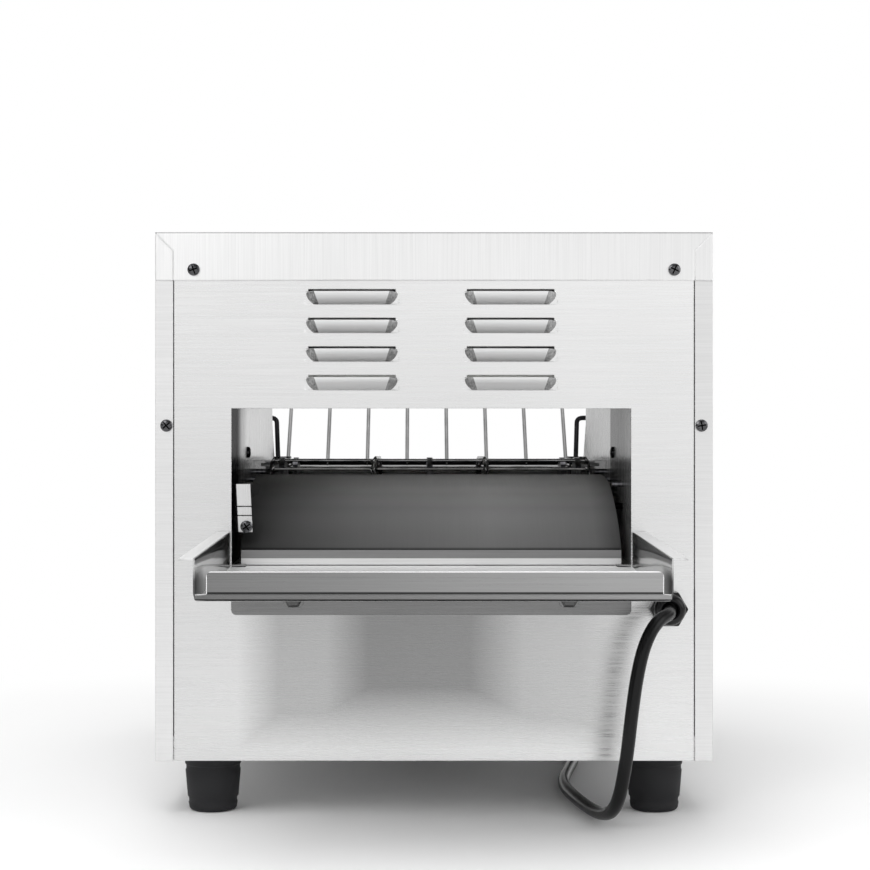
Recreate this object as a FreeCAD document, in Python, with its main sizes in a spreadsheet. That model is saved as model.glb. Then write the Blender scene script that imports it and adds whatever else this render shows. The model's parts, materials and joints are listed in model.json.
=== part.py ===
"""Conveyor toaster, a countertop bread toaster with a wire belt.

Frame: +Z up, millimetres.  The origin is under the middle of the object, on the surface it stands
on.  The rear, where the toast slides out onto its tray, faces -Y, and +X is right as seen from there.
Inside the functions, depth is counted from the outer face of the rear, forwards to the console.
"""
import FreeCAD, Part
import math
import os
import re
import PartDesign
import Sketcher
from FreeCAD import Placement, Rotation, Vector

SIZES = [
    # casing
    ("body_width", 368.0, "casing, side to side"),
    ("body_depth", 406.0, "casing, rear face to console face"),
    ("body_height", 387.0, "table to the top of the cover"),
    ("foot_height", 38.0, "table to the underside of the base"),
    ("skin", 1.0, "stainless sheet of casing, walls and trays"),
    ("cover_drop", 31.8, "height of the cover's folded edge"),
    ("seam", 0.4, "gap between cover and side panels"),
    ("corner_width", 11.8, "side panel's flange on the rear face"),
    ("mitre_width", 0.4, "width of the seam line on the cover's corners"),
    ("panel_top_gap", 6.0, "inner panels stop this far under the cover"),
    ("upper_depth", 319.0, "rear face to the upper front panel"),
    ("shoulder_height", 265.0, "where the console's slope meets the upper front"),
    ("console_height", 150.0, "top of the upright console face"),
    ("base_lip", 16.0, "height of the base pan's edge"),
    # the tunnel that the bread runs through
    ("tunnel_x", -1.8, "middle of the tunnel, off the middle of the casing"),
    ("tunnel_width", 264.0, "between the inner walls, and the rear opening"),
    ("opening_top", 270.8, "rear opening, upper edge"),
    ("opening_low", 137.0, "rear opening, lower edge"),
    ("mouth_top", 283.0, "front opening, upper edge"),
    ("sill_height", 231.0, "front opening, lower edge"),
    ("wall_top", 330.0, "inner walls, upper edge"),
    ("wall_foot_depth", 340.0, "inner walls, foot on the base pan"),
    ("wall_knee", 180.0, "height where the inner walls step back from the slope"),
    ("wall_gap", 0.5, "clearance between the inner walls and the slope"),
    ("shield_top", 137.0, "shield plate under the crumb tray"),
    ("shield_depth", 330.0, "front edge of the shield plate"),
    ("shield_edge", 12.0, "height of its folded edges"),
    # louvres of the rear panel
    ("louvre_width", 60.0, "each louvre, side to side"),
    ("louvre_height", 8.9, "each louvre, top to bottom"),
    ("louvre_pitch", 18.9, "from one louvre to the next below"),
    ("louvre_offset", 52.4, "middle of a column from the middle of the tunnel"),
    ("louvre_top", 349.0, "upper edge of the highest louvre"),
    ("louvre_bulge", 5.5, "how far a louvre stands out"),
    ("louvre_taper", 6.0, "slope of its closed ends"),
    # wire belt
    ("belt_pitch", 12.7, "from one cross wire to the next"),
    ("belt_wire", 2.2, "diameter of the belt wire"),
    ("belt_width", 243.0, "belt, edge to edge"),
    ("belt_joint", 81.0, "distance between the two rows of joints"),
    ("belt_axis_height", 212.2, "height of both belt shafts"),
    ("belt_axis_depth", 182.0, "rear face to the rear belt shaft"),
    ("tooth_gap", 2.2, "radius of the gap between two belt teeth"),
    ("tooth_tip", 1.4, "belt tooth beyond the wire's middle"),
    ("sprocket_width", 4.0, "thickness of a belt sprocket"),
    ("sprocket_side", 112.0, "outer belt sprockets from the middle"),
    ("hub_radius", 9.0, "hub of a sprocket"),
    ("hub_width", 12.0, "length of a belt sprocket's hub"),
    ("shaft_radius", 4.0, "all shafts of the drive"),
    ("fit_gap", 0.05, "clearance of a shaft in its bore, on the radius"),
    ("bush_radius", 7.0, "sleeve of a shaft bush"),
    ("bush_flange", 9.5, "flange of a shaft bush"),
    ("bush_flange_width", 2.5, "thickness of that flange"),
    ("shaft_overhang", 4.0, "shaft beyond its bush"),
    ("rail_width", 8.5, "belt guide rail, side to side"),
    ("rail_height", 6.7, "belt guide rail, top to bottom"),
    ("rail_top", 236.2, "upper face of the guide rails"),
    ("rail_start", 158.0, "rear end of the guide rails"),
    ("rail_end", 330.0, "front end of the guide rails"),
    ("pin_radius", 1.9, "pins on the inner walls"),
    # chain drive and motor
    ("chain_pitch", 9.525, "roller chain"),
    ("chain_plane", 168.0, "middle of the chain, from the middle of the tunnel"),
    ("roller_radius", 2.5, "roller of the chain"),
    ("roller_width", 5.6, "inner width of the chain"),
    ("link_plate", 0.8, "thickness of a chain plate"),
    ("link_radius", 3.4, "round end of a chain plate"),
    ("chain_pin", 1.2, "radius of a chain pin"),
    ("chain_tip", 2.0, "chain tooth beyond the roller's middle"),
    ("chain_gap", 3.2, "radius of the gap between two chain teeth"),
    ("chain_wheel_width", 4.0, "thickness of a chain sprocket"),
    ("motor_radius", 30.0, "gear motor"),
    ("motor_width", 22.0, "gear motor, along its shaft"),
    ("gearbox_radius", 24.0, "gear case on the motor"),
    ("gearbox_width", 6.0, "gear case, along its shaft"),
    ("bracket_skin", 2.0, "motor bracket plate"),
    ("bracket_size", 76.0, "motor bracket, each way"),
    # heaters
    ("heater_radius", 5.0, "quartz tube"),
    ("upper_heater_height", 300.0, "upper tubes"),
    ("upper_heater_depth", 140.0, "rearmost upper tube"),
    ("upper_heater_pitch", 60.0, "from one upper tube to the next"),
    ("lower_heater_height", 212.2, "lower tubes, inside the belt"),
    ("lower_heater_depth", 235.0, "rear lower tube"),
    ("lower_heater_pitch", 34.0, "from one lower tube to the next"),
    ("hood_rise", 16.0, "upper reflector above its tubes' middle"),
    ("hood_flat", 30.0, "its flat part beyond the outer tubes"),
    ("hood_flare", 15.0, "its sloping edges, outwards"),
    ("hood_drop", 24.0, "its sloping edges, downwards"),
    ("dish_drop", 16.0, "lower reflector below its tubes' middle"),
    ("dish_flat", 9.0, "its flat part beyond the outer tubes"),
    ("dish_flare", 8.0, "its sloping edges, outwards"),
    ("dish_rise", 7.0, "its sloping edges, upwards"),
    ("cap_radius", 8.0, "ceramic end cap"),
    ("cap_flange", 10.5, "flange of the end cap, outside the wall"),
    ("cap_inset", 7.0, "end cap inside the wall"),
    ("cap_length", 17.0, "end cap, along the tube"),
    ("cap_flange_width", 3.0, "thickness of that flange"),
    ("hole_gap", 0.2, "clearance of a fixed piece in its hole, on the radius"),
    ("guard_height", 287.0, "cross rods of the heater guard"),
    ("guard_wire", 3.0, "diameter of the guard wires"),
    ("guard_pitch", 40.0, "from one guard wire to the next"),
    ("guard_start", 110.0, "rear cross rod of the guard"),
    ("guard_end", 292.0, "front cross rod of the guard"),
    # where the toast leaves
    ("slide_width", 253.0, "toast slide, side to side"),
    ("slide_lip_depth", 8.0, "toast slide, lower edge of its lip"),
    ("slide_lip_height", 171.0, "toast slide, lower edge of its lip"),
    ("slide_curl_depth", 9.0, "toast slide, where the lip curls over"),
    ("slide_curl_height", 177.0, "toast slide, where the lip curls over"),
    ("slide_foot_depth", 14.0, "toast slide, bend 1 of its curve"),
    ("slide_foot_height", 183.5, "toast slide, bend 1 of its curve"),
    ("slide_low_depth", 26.0, "toast slide, bend 2"),
    ("slide_low_height", 193.0, "toast slide, bend 2"),
    ("slide_knee_depth", 42.0, "toast slide, bend 3"),
    ("slide_knee_height", 203.5, "toast slide, bend 3"),
    ("slide_mid_depth", 64.0, "toast slide, bend 4"),
    ("slide_mid_height", 214.0, "toast slide, bend 4"),
    ("slide_high_depth", 90.0, "toast slide, bend 5"),
    ("slide_high_height", 221.5, "toast slide, bend 5"),
    ("slide_brow_depth", 120.0, "toast slide, bend 6"),
    ("slide_brow_height", 225.0, "toast slide, bend 6"),
    ("slide_top_depth", 150.0, "toast slide, upper edge behind the belt"),
    ("slide_top_height", 225.6, "toast slide, upper edge behind the belt"),
    ("low_rod_depth", 52.0, "rod under the slide's lower part"),
    ("high_rod_depth", 134.0, "rod under the slide's upper part"),
    ("ear_depth", 5.0, "bracket beside the slide"),
    ("ear_width", 13.2, "that bracket, out from the inner wall"),
    ("ear_low", 188.9, "that bracket, lower edge"),
    ("ear_high", 220.8, "that bracket, upper edge"),
    ("ear_fold", 6.0, "its fold along the inner wall"),
    ("slide_pin_depth", 56.0, "pin beside the slide"),
    ("slide_pin_height", 220.0, "pin beside the slide"),
    ("slide_pin_reach", 6.65, "that pin, out of the inner wall"),
    ("slide_rod_radius", 2.0, "rods that carry the toast slide"),
    ("tray_width", 267.0, "toast tray, outside its walls"),
    ("tray_reach", 182.0, "toast tray, out from the rear face"),
    ("tray_height", 166.0, "toast tray floor at the rear face"),
    ("tray_lean", 2.2, "slope of the toast tray, in degrees"),
    ("tray_wall", 22.5, "height of the tray's side walls"),
    ("tray_wing", 8.0, "width of the flange on each wall"),
    ("lip_width", 254.0, "tray's front lip, side to side"),
    ("lip_height", 16.4, "tray's front lip, above the floor"),
    ("lip_bend", 4.2, "sloping fold under the lip"),
    ("tongue_width", 246.0, "tray floor inside the casing"),
    ("tongue_length", 58.0, "tray floor inside the casing"),
    ("runner_gap", 0.3, "clearance of a sliding tray"),
    ("runner_width", 13.0, "tray runner's lower leg"),
    ("runner_lip", 7.0, "tray runner's upper leg"),
    ("crumb_width", 258.0, "crumb tray, outside its walls"),
    ("crumb_length", 300.0, "rear face to the end of the crumb tray"),
    ("crumb_wall", 12.0, "height of the crumb tray's walls"),
    ("crumb_face_low", 134.4, "crumb tray's face, lower edge"),
    ("crumb_face_high", 157.2, "crumb tray's face, upper edge"),
    ("crumb_corner", 3.0, "rounding of the face's lower corners"),
    ("tab_side", 91.0, "pressed bumps of the face, from the middle"),
    ("tab_width", 14.8, "each bump, at its top"),
    ("tab_top", 152.0, "each bump, upper end"),
    ("tab_low", 139.5, "each bump, lower end"),
    # loading rack
    ("rack_wire", 3.0, "diameter of the bread wires"),
    ("rack_pitch", 34.05, "from one bread wire to the next"),
    ("rack_rod", 4.2, "diameter of the rack's frame rods"),
    ("rack_lean", 39.5, "rack from the upright, in degrees"),
    ("rack_sill_gap", 0.2, "lower cross rod above the sill it rests on"),
    ("rack_top_height", 346.0, "upper cross rod of the rack"),
    ("rack_hook_height", 272.5, "where the side rods turn outwards"),
    ("rack_x", -3.5, "middle of the rack, off the middle of the casing"),
    ("rack_side", 127.5, "side rods, from the middle"),
    ("rack_hook_side", 151.0, "hooks, from the middle"),
    # console
    ("control_height", 96.0, "middle of knobs and lamp"),
    ("control_side", 95.0, "knobs, from the middle"),
    ("knob_radius", 19.0, "knobs"),
    ("knob_depth", 16.0, "knobs, front to back"),
    ("knob_gap", 1.0, "knob to console face"),
    ("spindle_radius", 3.0, "knob spindles"),
    ("switch_radius", 12.0, "speed control and selector switch"),
    ("switch_depth", 14.0, "speed control and selector switch"),
    ("lamp_radius", 5.0, "indicator lamp's barrel"),
    ("lamp_flange", 7.5, "indicator lamp's lens"),
    ("lamp_proud", 3.0, "lens beyond the console face"),
    ("board_x", -15.0, "middle of the control board"),
    ("board_width", 90.0, "control board, side to side"),
    ("board_start", 352.0, "rear face to the control board"),
    ("board_length", 44.0, "control board, front to back"),
    ("board_rise", 8.0, "control board above the base pan"),
    ("board_skin", 1.6, "thickness of the control board"),
    ("post_radius", 3.0, "posts of the control board"),
    ("post_inset", 5.0, "those posts, from the board's edges"),
    # fan
    ("fan_size", 80.0, "fan frame, each way"),
    ("fan_height", 25.0, "fan frame, top to bottom"),
    ("fan_depth", 200.0, "rear face to the fan's axis"),
    ("fan_bore", 37.5, "radius of the fan's bore"),
    ("fan_hub", 15.5, "radius of the fan's hub"),
    ("fan_tip", 36.3, "radius over the fan's blades"),
    ("fan_arm", 4.0, "width of the arms under the fan's motor"),
    ("fan_arm_skin", 2.5, "thickness of those arms"),
    ("fan_seat", 4.0, "height of the seat of the fan's motor"),
    ("fan_pin", 1.5, "radius of the pin that the fan turns on"),
    ("fan_pin_height", 10.0, "top of that pin above the base pan"),
    ("fan_margin", 2.0, "rotor below the frame's upper face"),
    ("blade_chord", 16.0, "fan blade, across"),
    ("blade_skin", 1.4, "thickness of a fan blade"),
    ("blade_lean", 55.0, "slope of a fan blade, in degrees"),
    ("blade_foot", 7.0, "lower edge of the blades above the base pan"),
    # cable entry
    ("gland_x", 153.8, "cable gland, from the middle of the casing"),
    ("gland_height", 138.9, "cable gland"),
    ("gland_flats", 22.0, "gland, across its flats"),
    ("gland_thread", 9.0, "radius of the gland's thread"),
    ("gland_collar", 7.0, "hexagon against the panel, along its axis"),
    ("gland_reach", 18.0, "dome nut's end, out from the rear face"),
    ("cord_radius", 4.3, "power cord"),
    ("cord_gap", 0.15, "gland's bore around the cord, on the radius"),
    ("coil_x", 45.0, "middle of the coiled cord, from the middle of the casing"),
    ("coil_depth", 480.0, "rear face to the middle of the coiled cord"),
    ("coil_radius", 46.0, "middle line of the coiled cord"),
    ("plug_x", -12.0, "plug, the end that the cord goes into"),
    ("plug_length", 40.0, "plug's grip, along the cord"),
    ("plug_width", 26.0, "plug's grip, across"),
    ("plug_height", 22.0, "plug's grip, top to bottom"),
    ("plug_round", 4.0, "rounding of the plug's edges"),
    ("plug_pin_radius", 2.4, "pins of the plug"),
    ("plug_pin_length", 19.0, "pins of the plug"),
    ("plug_pin_pitch", 19.0, "from one pin to the other"),
    ("relief_length", 32.0, "plug's strain relief"),
    ("relief_radius", 7.0, "strain relief, thick end"),
    ("terminal_x", 157.0, "middle of the terminal block"),
    ("terminal_width", 34.0, "terminal block, side to side"),
    ("terminal_start", 60.0, "rear face to the terminal block"),
    ("terminal_length", 16.0, "terminal block, front to back"),
    ("terminal_height", 14.0, "terminal block, top to bottom"),
    ("terminal_pitch", 11.0, "from one terminal to the next"),
    ("terminal_well", 2.2, "radius of a terminal's hole"),
    ("terminal_floor", 6.0, "under a terminal's hole"),
    # feet and screws
    ("foot_radius", 19.0, "rubber foot, top"),
    ("foot_sole", 16.0, "rubber foot, bottom"),
    ("foot_side", 150.0, "feet, from the middle"),
    ("foot_inset", 36.0, "feet, from the rear face and the console face"),
    ("foot_screw", 2.9, "radius of a foot's screw"),
    ("screw_head", 4.0, "radius of a panel screw's head"),
    ("screw_head_height", 2.4, "height of a panel screw's head"),
    ("screw_radius", 2.0, "radius of a panel screw's shank"),
    ("screw_length", 7.0, "panel screw under its head"),
    ("cover_screw_x", 158.6, "cover screws, from the middle"),
    ("cover_screw_drop", 24.7, "cover screws below the top of the cover"),
    ("side_screw_x", 176.5, "side panel screws, from the middle"),
    ("side_screw_height", 259.4, "side panel screws"),
    ("wall_screw_depth", 108.0, "screws on the inner walls"),
    ("wall_screw_height", 242.0, "screws on the inner walls"),
]

TEETH = 12
TOP_LINKS = 11
CHAIN_LINKS = 12
FLUTES = 16
FAN_BLADES = 7
COIL_TURNS_BESIDE = 2
COIL_LAYERS = 2

doc = FreeCAD.newDocument("ConveyorToaster")
dims = doc.addObject("Spreadsheet::Sheet", "Dims")
for line, (alias, size, note) in enumerate(SIZES, 1):
    dims.set(f"A{line}", alias)
    dims.set(f"B{line}", str(size))
    dims.set(f"C{line}", note)
    dims.setAlias(f"B{line}", alias)
doc.recompute()

worked = doc.addObject("App::VarSet", "Worked")
OWNER = {alias: "Dims" for alias, _, _ in SIZES}
WORD = re.compile(r"[A-Za-z_][A-Za-z_0-9]*")


def bound(text):
    """Write the sheet's or the worked values' owner before each of their names."""
    def prefix(word):
        owner = OWNER.get(word.group())
        return f"{owner}.{word.group()}" if owner else word.group()
    return WORD.sub(prefix, str(text))


def number(text):
    return float(worked.evalExpression(bound(text)))


def tie(thing, name, text):
    thing.setExpression(name, bound(text))


def derive(name, text):
    """Keep a size that follows from others, so that it is worked out once."""
    worked.addProperty("App::PropertyFloat", name, "Worked")
    tie(worked, name, text)
    OWNER[name] = "Worked"
    doc.recompute([worked])


derive("half_width", "body_width / 2")
derive("inner_half", "half_width - skin")
derive("cover_low", "body_height - cover_drop")
derive("side_top", "cover_low - seam")
derive("cover_screw_height", "body_height - cover_screw_drop")
derive("panel_top", "body_height - panel_top_gap")
derive("base_top", "foot_height + skin")
derive("console_inner", "body_depth - skin")
derive("rear_inner", "2 * skin")
derive("slope", "atan((body_depth - upper_depth) / (shoulder_height - console_height))")
derive("half_tunnel", "tunnel_width / 2")
derive("wall_outer", "half_tunnel + skin")
derive("belt_radius", f"belt_pitch / (2 * sin(180 / {TEETH}))")
derive("idler_depth", f"belt_axis_depth + {TOP_LINKS} * belt_pitch")
derive("wire_radius", "belt_wire / 2")
derive("chain_radius", f"chain_pitch / (2 * sin(180 / {TEETH}))")
derive("motor_height", f"belt_axis_height - {CHAIN_LINKS} * chain_pitch")
derive("knob_reach", "body_depth + knob_gap + knob_depth")
derive("rail_low", "rail_top - rail_height")
derive("sill_depth", "upper_depth + (shoulder_height - sill_height) * tan(slope)")
derive("rack_foot_depth", "sill_depth - skin / 2")
derive("rack_foot_height", "sill_height + rack_rod / 2 + rack_sill_gap")
derive("rack_top_depth",
       "rack_foot_depth + (rack_top_height - rack_foot_height) * tan(rack_lean)")
derive("rear_y", "(tray_reach - rack_top_depth - rack_rod / 2) / 2")

pieces = []


def piece(label, thing):
    """Name a finished sub-part; its label names its file."""
    thing.Label = label
    pieces.append(thing)
    return thing


def depth(text):
    return f"rear_y + ({text})"


def block(name, across, deep, high):
    """A rectangular solid between three pairs of limits."""
    solid = doc.addObject("Part::Box", name)
    sides = (("Length", "x", across), ("Width", "y", deep), ("Height", "z", high))
    for size, axis, (low, top) in sides:
        tie(solid, size, f"({top}) - ({low})")
        tie(solid, f"Placement.Base.{axis}", depth(low) if axis == "y" else low)
    return solid


TURNS = {
    "x": Rotation(Vector(0, 1, 0), 90),
    "y": Rotation(Vector(1, 0, 0), -90),
    "z": Rotation(),
}


def rod(name, axis, radius, ends, at):
    """A round bar along one axis; at gives its place on the other two, in X, Y, Z order."""
    solid = doc.addObject("Part::Cylinder", name)
    solid.Placement = Placement(Vector(), TURNS[axis])
    start, end = ends
    tie(solid, "Radius", radius)
    tie(solid, "Height", f"({end}) - ({start})")
    place = dict(zip([letter for letter in "xyz" if letter != axis], at))
    place[axis] = start
    for letter, text in place.items():
        tie(solid, f"Placement.Base.{letter}", depth(text) if letter == "y" else text)
    return solid


def cut(name, base, *tools):
    result = doc.addObject("Part::Cut", name)
    result.Base = base
    result.Tool = tools[0] if len(tools) == 1 else group(name + "Tools", *tools)
    return result


def fuse(name, *parts):
    result = doc.addObject("Part::MultiFuse", name)
    result.Shapes = list(parts)
    return result


def group(name, *parts):
    result = doc.addObject("Part::Compound", name)
    result.Links = list(parts)
    return result


def body_at(name, x="0", y="0", z="0", lean=None):
    """An empty body whose own frame lies at a depth, and leans about the X axis if asked."""
    body = doc.addObject("PartDesign::Body", name)
    if lean:
        body.Placement = Placement(Vector(), Rotation(Vector(1, 0, 0), number(lean)))
        tie(body, "Placement.Rotation.Angle", lean)
    tie(body, "Placement.Base.x", x)
    tie(body, "Placement.Base.y", depth(y))
    tie(body, "Placement.Base.z", z)
    return body


def draw(body, plane, offset, outlines):
    """A sketch on one of the body's planes: polygons as point lists, circles as (u, v, radius)."""
    sketch = body.newObject("Sketcher::SketchObject", f"{body.Name}Sketch")
    role = f"{plane}_Plane"
    origin = [item for item in body.Origin.OriginFeatures if item.Role == role][0]
    sketch.AttachmentSupport = (origin, "")
    sketch.MapMode = "FlatFace"
    tie(sketch, "AttachmentOffset.Base.z", offset)

    def pin(geometry, point, u, v):
        for kind, text in (("DistanceX", u), ("DistanceY", v)):
            limit = sketch.addConstraint(
                Sketcher.Constraint(kind, -1, 1, geometry, point, number(text)))
            tie(sketch, f"Constraints[{limit}]", text)

    for outline in outlines:
        first = sketch.GeometryCount
        if isinstance(outline, tuple):
            u, v, radius = outline
            middle = Vector(number(u), number(v), 0)
            sketch.addGeometry(Part.Circle(middle, Vector(0, 0, 1), number(radius)), False)
            pin(first, 3, u, v)
            size = sketch.addConstraint(Sketcher.Constraint("Radius", first, number(radius)))
            tie(sketch, f"Constraints[{size}]", radius)
            continue
        spots = [Vector(number(u), number(v), 0) for u, v in outline]
        for here, there in zip(spots, spots[1:] + spots[:1]):
            sketch.addGeometry(Part.LineSegment(here, there), False)
        for index, (u, v) in enumerate(outline):
            following = first + (index + 1) % len(outline)
            sketch.addConstraint(
                Sketcher.Constraint("Coincident", first + index, 2, following, 1))
            pin(first + index, 1, u, v)
    return sketch


def pad(body, plane, low, high, *outlines):
    """Add a prism between two places along the plane's normal."""
    offset = f"-({high})" if plane == "XZ" else low
    feature = body.newObject("PartDesign::Pad", f"{body.Name}Pad")
    feature.Profile = draw(body, plane, offset, outlines)
    tie(feature, "Length", f"({high}) - ({low})")
    return feature


def pocket(body, plane, low, high, *outlines):
    """Take away a prism between two places along the plane's normal."""
    offset = f"-({low})" if plane == "XZ" else high
    feature = body.newObject("PartDesign::Pocket", f"{body.Name}Pocket")
    feature.Profile = draw(body, plane, offset, outlines)
    tie(feature, "Length", f"({high}) - ({low})")
    return feature


def repeat_along(body, feature, pitch, count, axis="Y_Axis"):
    """Repeat a feature in a row along an axis of the body."""
    doc.recompute()
    pattern = body.newObject("PartDesign::LinearPattern", f"{body.Name}Row")
    pattern.Originals = [feature]
    line = [item for item in body.Origin.OriginFeatures if item.Role == axis][0]
    pattern.Direction = (line, [""])
    tie(pattern, "Length", f"({pitch}) * {count - 1}")
    pattern.Occurrences = count
    body.Tip = pattern
    return pattern


def rectangle(left, right, low, high):
    return [(left, low), (right, low), (right, high), (left, high)]


def folded(name, line, thickness):
    """The outline of sheet metal folded along a line of points, with its thickness to the left."""
    runs = []
    for index, ((u, v), (next_u, next_v)) in enumerate(zip(line, line[1:])):
        derive(f"{name}_run{index}", f"atan2(({next_v}) - ({v}); ({next_u}) - ({u}))")
        runs.append(f"{name}_run{index}")
    far_side = []
    for (u, v), before, after in zip(line, runs[:1] + runs, runs + runs[-1:]):
        mean = f"(({before}) + ({after})) / 2"
        half = f"(({after}) - ({before})) / 2"
        shift = f"({thickness}) / cos({half})"
        far_side.append((f"({u}) - {shift} * sin({mean})", f"({v}) + {shift} * cos({mean})"))
    return list(line) + far_side[::-1]


def hexagon(u, v, flats):
    """Points of a hexagon with flats above and below."""
    corner = f"({flats}) / 2 / cos(30)"
    return [(f"({u}) + {corner} * cos({turn})", f"({v}) + {corner} * sin({turn})")
            for turn in range(0, 360, 60)]


def side_outline():
    """A side panel from the side: upright rear, upper front, slope and console."""
    return [("0", "foot_height"), ("body_depth", "foot_height"), ("body_depth", "console_height"),
            ("upper_depth", "shoulder_height"), ("upper_depth", "side_top"), ("0", "side_top")]


def side_panel(label, side):
    """A flat side with a flange that folds round onto the rear face."""
    body = body_at(label)
    sheet = ("inner_half", "half_width") if side > 0 else ("-half_width", "-inner_half")
    pad(body, "YZ", *sheet, side_outline())
    pad(body, "XZ", "0", "skin",
        rectangle(f"{side} * half_width", f"{side} * (half_width - corner_width)",
                  "foot_height", "side_top"))
    pocket(body, "XZ", "-skin", "2 * skin",
           (f"{side} * side_screw_x", "side_screw_height", "screw_radius + hole_gap"))
    return piece(label, body)


def casing():
    side_panel("left_side_panel", -1)
    side_panel("right_side_panel", 1)
    base_pan()
    rear_panel()
    top_cover()
    front_upper_panel()
    control_panel()


def base_pan():
    """A shallow pan that carries the walls, the fan and the feet."""
    body = body_at("base_pan")
    pad(body, "XY", "foot_height", "foot_height + base_lip",
        rectangle("-inner_half", "inner_half", "rear_inner", "console_inner"))
    pocket(body, "XY", "base_top", "foot_height + base_lip",
           rectangle("skin - inner_half", "inner_half - skin",
                     "rear_inner + skin", "console_inner - skin"))
    holes = [(x, y, "foot_screw + hole_gap") for x, y in foot_places()]
    pocket(body, "XY", "foot_height - skin", "base_top", *holes)
    slot = pocket(body, "XY", "foot_height - skin", "base_top",
                  rectangle("tunnel_x - 0.34 * fan_size", "tunnel_x + 0.34 * fan_size",
                            "fan_depth - 0.36 * fan_size", "fan_depth - 0.30 * fan_size"))
    repeat_along(body, slot, "0.11 * fan_size", 7)
    return piece("base_pan", body)


def louvre(name, x, top, grow, floor, headroom):
    """The wedge of one louvre: upright open face at the top, tapering ends and a sloping back."""
    wedge = doc.addObject("Part::Wedge", name)
    half = f"(louvre_width / 2 + {grow})"
    tie(wedge, "Xmin", f"louvre_taper - {half}")
    tie(wedge, "Xmax", f"{half} - louvre_taper")
    tie(wedge, "X2min", f"-{half}")
    tie(wedge, "X2max", half)
    tie(wedge, "Ymin", f"skin - louvre_bulge - {grow}")
    tie(wedge, "Ymax", floor)
    tie(wedge, "Zmin", f"-1.6 * skin - {grow}")
    tie(wedge, "Zmax", headroom)
    tie(wedge, "Z2min", f"-louvre_height - {grow}")
    tie(wedge, "Z2max", headroom)
    tie(wedge, "Placement.Base.x", x)
    tie(wedge, "Placement.Base.y", "rear_y")
    tie(wedge, "Placement.Base.z", top)
    return wedge


def rear_panel():
    """The rear sheet, behind the side panels' flanges, with its opening and louvres."""
    sheet = block("RearSheet", ("-inner_half", "inner_half"), ("skin", "2 * skin"),
                  ("foot_height", "panel_top"))
    opening = block("RearOpening", ("tunnel_x - half_tunnel", "tunnel_x + half_tunnel"),
                    ("0", "3 * skin"), ("opening_low", "opening_top"))
    hoods = []
    hollows = []
    for side in (-1, 1):
        for row in range(4):
            x = f"tunnel_x + {side} * louvre_offset"
            top = f"louvre_top - {row} * louvre_pitch"
            hoods.append(louvre("LouvreHood", x, top, "0", "1.5 * skin", "0"))
            hollows.append(louvre("LouvreHollow", x, top, "-skin", "3 * skin", "0.01 * skin"))
    holes = [rod("RearScrewHole", "y", "screw_radius + hole_gap", ("0", "3 * skin"), at)
             for at in rear_screw_places()]
    gland_hole = rod("GlandHole", "y", "gland_thread + hole_gap", ("0", "3 * skin"),
                     ("gland_x", "gland_height"))
    whole = fuse("RearSheetWithHoods", sheet, *hoods)
    return piece("rear_panel", cut("RearPanel", whole, opening, gland_hole, *holes, *hollows))


def top_cover():
    """A lid with folded edges; fine seams run down its rear corners."""
    outer = block("CoverOuter", ("-half_width", "half_width"), ("0", "upper_depth"),
                  ("cover_low", "body_height"))
    inner = block("CoverInner", ("-inner_half", "inner_half"), ("skin", "upper_depth - skin"),
                  ("cover_low - skin", "body_height - skin"))
    seams = []
    for side, name in ((-1, "seam_left"), (1, "seam_right")):
        edge = f"{side} * (half_width - corner_width) + mitre_width / 2"
        corner = "body_height - corner_width"
        reach = "(corner_width + skin)"
        seam = body_at("CoverSeam")
        pad(seam, "XZ", "-skin", "mitre_width",
            folded(name, [(edge, "cover_low - skin"), (edge, corner),
                          (f"{edge} + {side} * {reach}", f"{corner} + {reach}")], "mitre_width"))
        seams.append(seam)
    holes = [rod("CoverScrewHole", "y", "screw_radius + hole_gap", ends, (x, "cover_screw_height"))
             for ends in (("-skin", "2 * skin"), ("upper_depth - 2 * skin", "upper_depth + skin"))
             for x in ("-cover_screw_x", "cover_screw_x")]
    return piece("top_cover", cut("TopCover", outer, inner, *seams, *holes))


def front_upper_panel():
    """The upper front sheet, over the mouth that the bread goes in by."""
    body = body_at("front_upper_panel")
    back, face = "upper_depth - 2 * skin", "upper_depth - skin"
    pad(body, "XZ", back, face, [
        ("-inner_half", "shoulder_height"), ("tunnel_x - half_tunnel", "shoulder_height"),
        ("tunnel_x - half_tunnel", "mouth_top"), ("tunnel_x + half_tunnel", "mouth_top"),
        ("tunnel_x + half_tunnel", "shoulder_height"), ("inner_half", "shoulder_height"),
        ("inner_half", "panel_top"), ("-inner_half", "panel_top")])
    holes = [(f"{side} * cover_screw_x", "cover_screw_height", "screw_radius + hole_gap")
             for side in (-1, 1)]
    holes += [(x, "rack_hook_height", "rack_rod / 2 + 2 * hole_gap") for x in hook_places()]
    pocket(body, "XZ", f"{back} - skin", f"{face} + skin", *holes)
    return piece("front_upper_panel", body)


def control_panel():
    """The sloping front under the rack and the upright console face, in one folded sheet."""
    body = body_at("control_panel")
    line = [("upper_depth", "shoulder_height"), ("body_depth", "console_height"),
            ("body_depth", "foot_height")]
    outline = folded("console", line[::-1], "skin")
    pad(body, "YZ", "-inner_half", "inner_half", outline)
    pocket(body, "XZ", "upper_depth - 10 * skin", "body_depth",
           rectangle("tunnel_x - half_tunnel", "tunnel_x + half_tunnel",
                     "sill_height", "shoulder_height + 5 * skin"))
    pocket(body, "XZ", "console_inner - skin", "body_depth + skin",
           ("-control_side", "control_height", "spindle_radius + 4 * hole_gap"),
           ("control_side", "control_height", "spindle_radius + 4 * hole_gap"),
           ("0", "control_height", "lamp_radius + hole_gap"))
    return piece("control_panel", body)


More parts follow.
